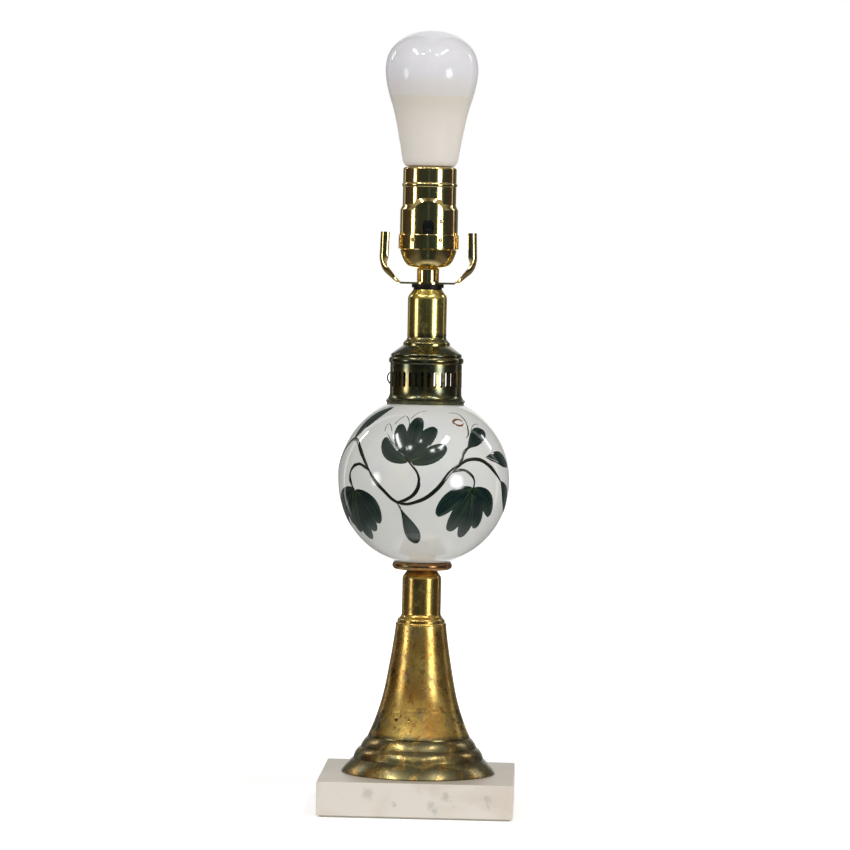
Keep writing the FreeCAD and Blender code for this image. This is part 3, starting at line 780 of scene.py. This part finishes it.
    def _world(self) -> None:
        """A white world for the camera, polish and glass, and a plain fill for the rest."""
        world = bpy.data.worlds.new("studio_world")
        world.use_nodes = True
        graph = Graph(world.node_tree)
        background = world.node_tree.nodes["Background"]
        background.inputs["Color"].default_value = padded(WHITE)
        level = self.fill + graph.seen() * (1.0 - self.fill)
        graph.tree.links.new(level.socket, background.inputs["Strength"])
        bpy.context.scene.world = world

    def _camera(self) -> None:
        """A long lens at the front, a little above the middle of the object."""
        data = bpy.data.cameras.new("camera")
        data.lens = self.lens
        data.sensor_width = self.film
        data.clip_end = self.sight
        camera = bpy.data.objects.new("camera", data)
        camera.location = direction(self.camera_azimuth) * self.camera_distance
        camera.location.z = self.camera_height
        camera.rotation_euler = facing(camera.location - Vector(self.aim), self.camera_roll)
        bpy.context.scene.collection.objects.link(camera)
        bpy.context.scene.camera = camera


def facing(way: Vector, roll: float) -> Euler:
    """The rotation of what looks back along a way, rolled by degrees about its line of sight."""
    turned = Matrix.Rotation(math.radians(roll), 3, "Z").to_quaternion()
    return (way.to_track_quat("Z", "Y") @ turned).to_euler()


# ------------------------------------------------------------------ meshes

def new_object(name: str, bm: bmesh.types.BMesh) -> bpy.types.Object:
    """Turns a bmesh into a linked object at the origin.

    Args:
        name: The object's name.
        bm: The finished mesh, which is freed.

    Returns:
        The new object.
    """
    mesh = bpy.data.meshes.new(name)
    bm.to_mesh(mesh)
    bm.free()
    mesh.shade_smooth()
    mesh.set_sharp_from_angle(angle=math.radians(SHARP))
    made = bpy.data.objects.new(name, mesh)
    bpy.context.scene.collection.objects.link(made)
    return made


class Outline:
    """A profile of radius and height in millimetres, drawn leg by leg."""

    def __init__(self, radius: float, height: float) -> None:
        """Starts the profile at a point."""
        self.points = [Vector((radius, height))]

    def line(self, radius: float, height: float) -> "Outline":
        """Adds a straight leg."""
        self.points.append(Vector((radius, height)))
        return self

    def arc(self, through: Pair, end: Pair, steps: int = 8) -> "Outline":
        """Adds a round leg.

        Args:
            through: A point on the arc.
            end: Its last point.
            steps: Number of short chords.

        Returns:
            This outline.
        """
        start, middle, last = self.points[-1], Vector(through), Vector(end)
        centre = circle_centre(start, middle, last)
        first = angle_of(start - centre)
        sweep = (angle_of(last - centre) - first) % math.tau
        if (angle_of(middle - centre) - first) % math.tau > sweep:
            sweep -= math.tau
        radius = (start - centre).length
        for index in range(1, steps + 1):
            angle = first + sweep * index / steps
            self.points.append(centre + radius * Vector((math.cos(angle), math.sin(angle))))
        return self

    def curve(self, *stations: Pair, steps: int = 6) -> "Outline":
        """Adds a smooth leg through stations.

        Args:
            stations: The points that it passes.
            steps: Number of chords between two stations.

        Returns:
            This outline.
        """
        ways = [self.points[-1]] + [Vector(station) for station in stations]
        self.points += smooth_points(ways, steps)[1:]
        return self

    def spin(self, name: str, steps: int) -> bpy.types.Object:
        """Turns the closed profile about Z into a solid.

        Args:
            name: The new object's name.
            steps: Number of facets round the axis.

        Returns:
            The new object.
        """
        bm = bmesh.new()
        self.points.append(self.points[0])
        self.sweep(bm, 0.0, 360.0, steps)
        bmesh.ops.remove_doubles(bm, verts=bm.verts, dist=1e-6)
        bmesh.ops.recalc_face_normals(bm, faces=bm.faces)
        return new_object(name, bm)

    def sweep(self, bm: bmesh.types.BMesh, start: float, turn: float, steps: int) -> None:
        """Adds the profile, turned about Z, to a mesh as it is, open or closed.

        Args:
            bm: The mesh.
            start: Degrees from the front at which the turning starts.
            turn: Degrees that the profile is turned through.
            steps: Number of facets.
        """
        way = direction(start)
        verts = [bm.verts.new((way * point.x + Vector((0, 0, point.y))) * MM) for point in self.points]
        edges = [bm.edges.new(pair) for pair in zip(verts, verts[1:])]
        bmesh.ops.spin(bm, geom=verts + edges, cent=(0, 0, 0), axis=(0, 0, 1), angle=math.radians(turn),
                       steps=steps, use_merge=turn == 360.0)


def angle_of(arrow: Vector) -> float:
    """The angle of a flat vector, in radians."""
    return math.atan2(arrow.y, arrow.x)


def circle_centre(first: Vector, second: Vector, third: Vector) -> Vector:
    """The centre of the circle through three flat points.

    Args:
        first: One of the points.
        second: Another.
        third: The last.

    Returns:
        The centre.
    """
    across, along = second - first, third - first
    twice = 2 * (across.x * along.y - across.y * along.x)
    x = (along.y * across.length_squared - across.y * along.length_squared) / twice
    y = (across.x * along.length_squared - along.x * across.length_squared) / twice
    return first + Vector((x, y))


def smooth_points(ways: list[Vector], steps: int) -> list[Vector]:
    """A smooth line through points.

    Args:
        ways: The points, in order.
        steps: Number of chords between two of them.

    Returns:
        The points of the line, ends included.
    """
    gaps = [(after - before).length for before, after in zip(ways, ways[1:])]
    slopes = [(after - before) / gap for before, after, gap in zip(ways, ways[1:], gaps)]
    joins = zip(slopes, slopes[1:], gaps, gaps[1:])
    bends = [(slope * gap_after + slope_after * gap) / (gap + gap_after)
             for slope, slope_after, gap, gap_after in joins]
    if bends:
        bends = [2 * slopes[0] - bends[0], *bends, 2 * slopes[-1] - bends[-1]]
    else:
        bends = [slopes[0], slopes[0]]
    line = [ways[0]]
    for index, gap in enumerate(gaps):
        for step in range(1, steps + 1):
            t = step / steps
            line.append((2 * t**3 - 3 * t**2 + 1) * ways[index] + (t**3 - 2 * t**2 + t) * gap * bends[index]
                        + (3 * t**2 - 2 * t**3) * ways[index + 1] + (t**3 - t**2) * gap * bends[index + 1])
    return line


def finish_piece(piece: bpy.types.Object, body: str, slot: str, material: bpy.types.Material,
                 *nodes: str) -> None:
    """Gives a piece its body and material.

    Args:
        piece: The new piece.
        body: The CAD body that it rides on.
        slot: The record's material slot; not used.
        material: Its finish.
        nodes: CAD nodes that it stands for.
    """
    piece.data.materials.append(material)
    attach(piece, body)
    if nodes:
        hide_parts(*nodes)
    LOG.info("%s rides on %s", piece.name, body)


# ----------------------------------------------------------------- gallery

@dataclass
class Gallery:
    """The pierced brass gallery: a lip, a row of slots, two beads and a cone.

    The strip of slots is a little shorter than the way round, so that one slat
    behind is wider, by the spare share of a pitch. Places in the row count slots:
    whole numbers are slots and halves are slats. phase is the place 0 in degrees,
    first the row's first slot and sprung the slat that bows out. rise is the
    slots' foot above the seat, and margin the plain wall above and below them.
    slot_end and wide_end are points of a slot's round end, as shares of its radius.
    """

    wall: float = 22.1
    sheet: float = 0.8
    rod_hole: float = 5.15
    slot: float = 1.8
    length: float = 9.3
    rise: float = 10.5
    margin: float = 1.0
    slots: int = 35
    spare: float = 0.5
    phase: float = 6.1
    first: int = -18
    sprung: float = -9.5
    columns: int = 4
    slot_end: tuple[float, ...] = (0.95, 0.59, 0.0, -0.59, -0.95)
    wide_end: tuple[float, ...] = (0.92, 0.40, -0.40, -0.92)

    def __post_init__(self) -> None:
        """Works out the row of slots, and takes the seat and the top from the frame."""
        self.low, self.high = (corner.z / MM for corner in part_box("gallery_collar"))
        self.pitch = 360.0 / (self.slots + self.spare)
        self.arc = math.radians(self.pitch) * self.wall
        self.middle = self.low + self.rise + self.length / 2
        self.half = self.length / 2 + self.margin

    def build(self) -> None:
        """Makes the gallery out of one sheet."""
        bm = bmesh.new()
        start = self._turn_of(self.first - 0.5)
        steps = round((self.slots + self.spare) * self.columns)
        for outline in (self._lip(), self._crown()):
            outline.sweep(bm, start, 360.0, steps)
        self._band(bm)
        self._strip(bm)
        bmesh.ops.remove_doubles(bm, verts=bm.verts, dist=1e-5)
        bmesh.ops.recalc_face_normals(bm, faces=bm.faces)
        # inner marks the inner faces, which the finish paints near black as shade
        inner = bm.verts.layers.float.new("inner")
        outside = set(bm.verts)
        bmesh.ops.solidify(bm, geom=bm.faces[:], thickness=self.sheet * MM)
        for vert in bm.verts:
            vert[inner] = 0.0 if vert in outside else 1.0
        finish_piece(new_object("pierced_gallery", bm), "lamp", "aged_brass", GALLERY_BRASS.material(),
                     "gallery_collar")

    def _turn_of(self, place: float) -> float:
        """Degrees from the front of a place in the row."""
        return self.phase + self.pitch * place

    def _lip(self) -> Outline:
        """Draws the wall below the slots.

        Returns:
            The outline.
        """
        wall, low = self.wall, self.low
        outline = Outline(wall + 1.5, low).line(wall + 2.5, low + 2.2)
        outline.curve((wall + 0.9, low + 3.8), (wall, low + 5.9))
        return outline.line(wall, self.middle - self.half)

    def _crown(self) -> Outline:
        """Draws the wall, the two beads and the cone above the slots.

        Returns:
            The outline.
        """
        wall, low, high = self.wall, self.low, self.high
        outline = Outline(wall, self.middle + self.half).line(wall, low + 24.5)
        outline.arc((wall + 0.85, low + 26.8), (wall + 0.1, low + 28.6)).line(wall - 0.5, low + 28.9)
        outline.arc((wall - 0.35, low + 30.0), (wall - 1.0, low + 31.0)).line(14.9, high - 0.2)
        return outline.line(14.4, high).line(self.rod_hole, high)

    def _band(self, bm: bmesh.types.BMesh) -> None:
        """Adds a cell for each slot, one of them wide where a slat has sprung out, and the spare slat.

        Args:
            bm: The mesh.
        """
        place = float(self.first)
        while place < self.first + self.slots:
            if place + 0.5 == self.sprung:
                self._cell(bm, place + 0.5, 2)
                place += 2
            else:
                self._cell(bm, place, 1)
                place += 1
        seam = bmesh.ops.create_grid(bm, x_segments=self.columns // 2, y_segments=4, size=1.0)
        middle = self.first + self.slots - 0.5 + self.spare / 2
        for vert in seam["verts"]:
            self._roll(vert, vert.co.x * self.arc * self.spare / 2, vert.co.y * self.half, middle)

    def _roll(self, vert: bmesh.types.BMVert, along: float, up: float, place: float) -> None:
        """Puts a vertex on the round wall, in millimetres along it and up from a place in the row."""
        way = direction(self._turn_of(place) + math.degrees(along / self.wall))
        vert.co = (way * self.wall + Vector((0, 0, self.middle + up))) * MM

    def _cell(self, bm: bmesh.types.BMesh, place: float, slots: int) -> None:
        """Adds the wall round a slot, or round two slots that have lost the slat between them.

        Args:
            bm: The mesh.
            place: The middle of the cell in the row.
            slots: How many slots it has.
        """
        columns = self.columns * slots
        side = self.arc * slots / 2
        outer = [(side - 2 * side * index / columns, self.half) for index in range(columns + 1)]
        outer += [(-side, self.half / 2), (-side, 0.0), (-side, -self.half / 2)]
        radius, straight = self.slot / 2, self.length / 2 - self.slot / 2
        centre = self.arc * (slots - 1) / 2
        rims = [centre + radius * share for share in (self.slot_end if slots == 1 else self.wide_end)]
        if slots == 2:
            rims += [0.0] + [-rim for rim in reversed(rims)]
        inner = [(rim, straight + math.sqrt(max(radius**2 - (abs(rim) - centre) ** 2, 0.0))) for rim in rims]
        inner += [(-centre - radius, straight), (-centre - radius, 0.0), (-centre - radius, -straight)]
        edges = []
        for half_loop in (outer, inner):
            loop = half_loop + [(-x, -y) for x, y in half_loop]
            ring = bmesh.ops.create_circle(bm, segments=len(loop), radius=1.0)["verts"]
            for vert, (along, up) in zip(ring, loop):
                self._roll(vert, along, up, place)
            edges += list({edge for vert in ring for edge in vert.link_edges})
        bmesh.ops.bridge_loops(bm, edges=edges)

    def _strip(self, bm: bmesh.types.BMesh) -> None:
        """Adds the slat that is still held at its foot and bows outwards.

        Args:
            bm: The mesh.
        """
        wall, low = self.wall, self.low + self.rise
        width = self.pitch - math.degrees(self.slot / wall)
        outline = Outline(wall - 0.1, low + 0.2).line(wall - 0.1, low + 1.2)
        outline.curve((wall + 1.9, low + 5.4), (wall + 0.6, low + self.length - 0.6))
        outline.sweep(bm, self._turn_of(self.sprung) - width / 2, width, 3)


# ----------------------------------------------------------- painted globe

@dataclass(frozen=True)
class Petal:
    """One leaf-shaped brush stroke.

    base and tip are degrees of longitude, east of the front, and latitude.
    width is half the stroke's width, and bow moves its middle to the left. belly
    is the share of its length at which it is widest, and a lower blunt makes its
    ends rounder.
    """

    base: Pair
    tip: Pair
    width: float
    bow: float = 0.0
    belly: float = 0.62
    blunt: float = 0.62


@dataclass(frozen=True)
class Stem:
    """One thin brush stroke through places on the glass, with half widths."""

    way: tuple[Pair, ...]
    start: float
    end: float


TOP_LEAF = (
    Petal((-9.0, 14.0), (-31.0, 31.5), 5.4, 3.6, 0.54, 0.54),
    Petal((-8.5, 14.5), (-20.5, 43.0), 4.9, 1.5, 0.58, 0.52),
    Petal((-8.0, 14.5), (-3.5, 49.5), 5.5, 0.6, 0.60, 0.50),
    Petal((-8.0, 14.5), (11.5, 40.5), 5.6, 0.3, 0.58, 0.52),
    Petal((-9.0, 14.0), (18.5, 26.0), 6.0, -1.6, 0.54, 0.52),
)
RIGHT_LEAF = (
    Petal((36.5, -2.0), (10.5, -21.0), 6.2, -3.0, 0.54, 0.52),
    Petal((35.0, -2.5), (56.8, -22.0), 6.2, 3.2, 0.50, 0.54),
    Petal((35.5, -2.5), (46.0, -31.0), 5.4, 0.8, 0.56, 0.52),
    Petal((35.5, -2.0), (21.5, -33.0), 5.8, -0.6, 0.56, 0.50),
    Petal((35.0, -2.5), (34.3, -38.5), 5.8, 0.4, 0.54, 0.52),
)
LEFT_LEAF = (
    Petal((-50.0, -4.0), (-79.5, -33.0), 7.0, -6.4, 0.52),
    Petal((-50.0, -5.0), (-31.0, -28.0), 6.2, 4.0, 0.56, 0.54),
    Petal((-50.5, -5.0), (-38.5, -34.8), 5.8, 1.8, 0.60, 0.52),
    Petal((-51.0, -5.0), (-64.5, -31.5), 6.2, -2.4, 0.58, 0.52),
    Petal((-51.0, -5.0), (-60.5, -36.6), 5.6, -1.0, 0.60, 0.52),
    Petal((-50.5, -5.0), (-49.5, -42.2), 6.0, 0.4, 0.60, 0.52),
)
BUDS = (
    Petal((-13.6, -16.5), (-3.4, -43.8), 5.0, 0.9, 0.66, 0.66),
    Petal((33.6, 23.8), (61.0, 37.4), 5.0, 1.4, 0.66, 0.66),
    Petal((48.5, 18.0), (81.0, 11.5), 4.4, 2.4, 0.62, 0.8),
    Petal((63.2, 2.2), (82.7, -21.0), 5.2, 1.4, 0.50, 0.9),
    Petal((-66.0, 27.5), (-42.0, 59.0), 5.6, 1.6, 0.54, 0.8),
)
VINE = (
    Stem(((-86.0, -4.0), (-84.5, 5.0), (-81.0, 15.5), (-74.0, 23.5), (-66.0, 28.6), (-58.6, 27.6),
          (-52.0, 23.1), (-46.0, 17.6), (-38.0, 8.7), (-32.5, 1.9)), 1.7, 1.05),
    Stem(((-44.0, 15.6), (-38.0, 8.7), (-32.5, 1.9), (-25.8, -4.4),
          (-15.7, -12.2), (-9.6, -13.2), (-3.7, -11.8), (2.8, -9.0), (10.9, -2.3), (20.1, 9.0),
          (25.8, 12.9), (30.5, 15.6), (37.4, 16.9), (45.0, 15.9), (51.7, 12.2), (57.3, 7.4),
          (63.5, 1.7), (70.0, -5.0)), 1.05, 1.35),
    Stem(((-36.5, 6.8), (-42.3, 10.4), (-47.8, 11.9), (-53.0, 10.3), (-56.1, 6.3), (-56.2, 2.1),
          (-54.7, -0.8), (-50.9, -5.4)), 0.9, 1.35),
    Stem(((-17.0, -12.0), (-13.6, -11.6), (-8.4, -9.4), (-4.9, -6.8), (-2.2, -2.5), (-1.4, 3.0),
          (-2.4, 6.9), (-6.2, 12.2), (-10.4, 16.8), (-17.6, 23.4), (-25.0, 30.0), (-30.0, 35.0)), 1.5, 0.35),
    Stem(((24.7, 12.0), (28.4, 16.8), (30.4, 20.8), (34.0, 24.1), (43.0, 26.6), (54.0, 30.4)), 1.0, 0.7),
    Stem(((20.0, 7.6), (24.6, 9.4), (29.4, 9.6), (33.0, 7.8), (35.8, 5.1), (36.9, 2.6), (36.6, -1.0),
          (35.2, -4.5), (38.6, -9.0), (39.5, -17.0)), 1.1, 0.4),
    Stem(((-16.5, -12.6), (-13.4, -17.3), (-12.6, -24.0), (-10.6, -33.7), (-6.4, -41.5)), 0.7, 0.5),
    Stem(((49.0, 18.0), (60.0, 14.6), (72.0, 11.2), (80.5, 11.0)), 0.7, 0.5),
    Stem(((-66.0, 28.4), (-58.0, 38.0), (-50.0, 48.0), (-43.0, 57.0)), 0.6, 0.4),
)
PENCIL = (
    Stem(((-32.4, 35.4), (-33.2, 39.0), (-32.1, 42.6)), 0.32, 0.32),
    Stem(((-32.1, 42.6), (-28.4, 39.8), (-25.8, 35.6)), 0.32, 0.32),
    Stem(((-26.2, 41.0), (-22.6, 46.8), (-18.6, 50.4)), 0.32, 0.32),
    Stem(((-18.6, 50.4), (-13.6, 46.0), (-12.0, 39.5)), 0.32, 0.32),
    Stem(((-12.4, 46.0), (-8.0, 51.6), (-2.6, 54.4), (5.3, 55.6)), 0.32, 0.2),
    Stem(((41.5, 33.0), (45.0, 39.0), (52.0, 42.6), (60.0, 42.4)), 0.32, 0.2),
    Stem(((-63.0, 33.0), (-60.0, 44.0), (-53.0, 55.0), (-45.0, 61.0)), 0.36, 0.3),
    Stem(((26.5, 53.0), (33.0, 53.6), (39.8, 52.4), (42.8, 47.6), (42.6, 43.0), (41.2, 39.5),
          (39.1, 34.8), (34.1, 30.9)), 0.25, 0.75),
)
CURL = (
    Stem(((39.6, 44.4), (36.9, 46.9), (31.8, 46.8), (28.6, 44.5), (31.5, 42.1), (36.4, 42.0),
          (39.6, 44.4)), 0.85, 0.8),
)


@dataclass
class PaintedGlobe:
    """The blown opal ball and the vine that is painted on it, once for each spray.

    A petal lies a little higher than the petal before it, and a stem's width
    swells in waves. The edges of all paint are sunk into the glass.
    """

    radius: float = 52.8
    wall: float = 3.0
    centre: float = 200.4
    hole: float = 12.5
    sprays: tuple[float, ...] = (0.0, 180.0)
    petal_lift: float = 0.05
    petal_overlap: float = 0.006
    petal_facets: tuple[int, int] = (26, 12)
    tone_step: float = 0.37
    stem_facets: int = 4
    swell: float = 0.15
    waves: float = 17.0
    sunk: float = 0.04

    def build(self) -> None:
        """Makes the glass and its paint."""
        finish_piece(self.glass(), "lamp", "opal_glass", OPAL.material(), "globe")
        leaves = bmesh.new()
        for turn in self.sprays:
            for order, petal in enumerate(TOP_LEAF + RIGHT_LEAF + LEFT_LEAF + BUDS):
                self._petal(leaves, petal, turn, order)
        self._finish("painted_leaves", leaves, LEAF_ENAMEL)
        for name, stems, lift, overlap, enamel in (
                ("painted_stems", VINE, 0.22, 0.01, STEM_ENAMEL),
                ("painted_lines", PENCIL, 0.06, 0.0, LINE_ENAMEL),
                ("painted_curl", CURL, 0.09, 0.0, CURL_ENAMEL)):
            bm = bmesh.new()
            for turn in self.sprays:
                for order, stem in enumerate(stems):
                    self._stem(bm, stem, turn, lift + overlap * order)
            self._finish(name, bm, enamel)

    def _finish(self, name: str, bm: bmesh.types.BMesh, enamel: BrushedEnamel) -> None:
        """Makes a painted piece of its strokes, in one enamel."""
        finish_piece(new_object(name, bm), "lamp", "opal_glass", enamel.material())

    def glass(self) -> bpy.types.Object:
        """Blows the ball, open above and drilled below, and flat at both seats.

        Returns:
            The glass.
        """
        inner = self.radius - self.wall
        low_seat, high_seat = (corner.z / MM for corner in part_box("globe"))
        low, high = low_seat - self.centre, high_seat - self.centre
        outline = Outline(self.hole, low_seat)
        outline.line(math.sqrt(self.radius**2 - low**2), low_seat)
        outline.arc((self.radius, self.centre), (math.sqrt(self.radius**2 - high**2), high_seat), steps=80)
        outline.line(math.sqrt(inner**2 - high**2), high_seat)
        drilled = self.centre - math.sqrt(inner**2 - self.hole**2)
        outline.arc((inner, self.centre), (self.hole, drilled), steps=48)
        return outline.spin("globe_glass", steps=192)

    def _petal(self, bm: bmesh.types.BMesh, petal: Petal, turn: float, order: int) -> None:
        """Paints one petal.

        Args:
            bm: The mesh of all petals.
            petal: The stroke.
            turn: Degrees that the spray is turned round the globe.
            order: Its place in the painting, later strokes lying higher.
        """
        base, tip = (direction(east + turn, north) for east, north in (petal.base, petal.tip))
        left = base.cross(tip).normalized()
        power = math.log(0.5) / math.log(petal.belly)

        def spot(along: float) -> tuple[Vector, Vector, float]:
            """Finds the stroke at a share of its length.

            Args:
                along: The share, from 0 to 1.

            Returns:
                The stroke's middle, its left and its half width.
            """
            bow = petal.bow * 4 * along * (1 - along) / self.radius
            middle = (base.lerp(tip, along).normalized() + left * bow).normalized()
            half = petal.width * max(math.sin(math.pi * along**power), 0.0) ** petal.blunt
            return middle, left, half

        lift = self.petal_lift + self.petal_overlap * order
        self._ribbon(bm, spot, self.petal_facets, lift, (order * self.tone_step) % 1.0)

    def _stem(self, bm: bmesh.types.BMesh, stem: Stem, turn: float, lift: float) -> None:
        """Paints one stem.

        Args:
            bm: The mesh of all stems.
            stem: The stroke.
            turn: Degrees that the spray is turned round the globe.
            lift: Height of the paint, in millimetres.
        """
        ways = [direction(east + turn, north) for east, north in stem.way]
        line = [point.normalized() for point in smooth_points(ways, 6)]
        last = len(line) - 1

        def spot(along: float) -> tuple[Vector, Vector, float]:
            """Finds the stroke at a share of its length.

            Args:
                along: The share, from 0 to 1.

            Returns:
                The stroke's middle, its left and its half width.
            """
            index = min(round(along * last), last)
            ahead = line[min(index + 1, last)] - line[max(index - 1, 0)]
            swell = 1.0 + self.swell * math.sin(along * self.waves + stem.way[0][0])
            half = (stem.start + (stem.end - stem.start) * along) * swell
            rounding = min(1.0, 6 * along + 0.15, 6 * (1 - along) + 0.15)
            return line[index], line[index].cross(ahead).normalized(), half * rounding

        self._ribbon(bm, spot, (last, self.stem_facets), lift, 0.0)

    def _ribbon(self, bm: bmesh.types.BMesh, spot: Callable[[float], tuple[Vector, Vector, float]],
                facets: tuple[int, int], lift: float, tone: float) -> None:
        """Lays a thin domed ribbon of paint on the glass, its edges sunk into it.

        Args:
            bm: The mesh that it is added to.
            spot: Gives the middle, the left and the half width at a share of the length.
            facets: Facets along the stroke and across it.
            lift: Height of its crown, in millimetres.
            tone: A number that tells strokes apart in the finish.
        """
        floats = bm.verts.layers.float
        layers = [floats.get(name) or floats.new(name) for name in STROKE]
        grid = bmesh.ops.create_grid(bm, x_segments=facets[0], y_segments=facets[1], size=0.5)
        for vert in grid["verts"]:
            along, across = vert.co.x + 0.5, vert.co.y * 2
            middle, left, half = spot(min(max(along, 0.0), 1.0))
            way = (middle + left * (across * half / self.radius)).normalized()
            crown = (1 - across**4) * min(1.0, 12 * along, 12 * (1 - along))
            rise = (lift + self.sunk) * max(crown, 0.0) - self.sunk
            vert.co = Vector((0, 0, self.centre * MM)) + way * (self.radius + rise) * MM
            for layer, value in zip(layers, (across, along, tone)):
                vert[layer] = value


def dress_nodes() -> None:
    """Gives every CAD node its finish."""
    made: dict[str, bpy.types.Material] = {}
    for name, finish in NODE_FINISHES.items():
        if finish.name not in made:
            made[finish.name] = finish.material()
        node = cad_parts[name]
        node.data.materials.clear()
        node.data.materials.append(made[finish.name])
        LOG.info("%s dressed in %s", name, finish.name)


def main() -> None:
    """Builds the studio and every piece in order."""
    logging.basicConfig(level=logging.INFO, format="%(message)s")
    Studio().build()
    dress_nodes()
    Gallery().build()
    PaintedGlobe().build()


if __name__ == "__main__":
    main()
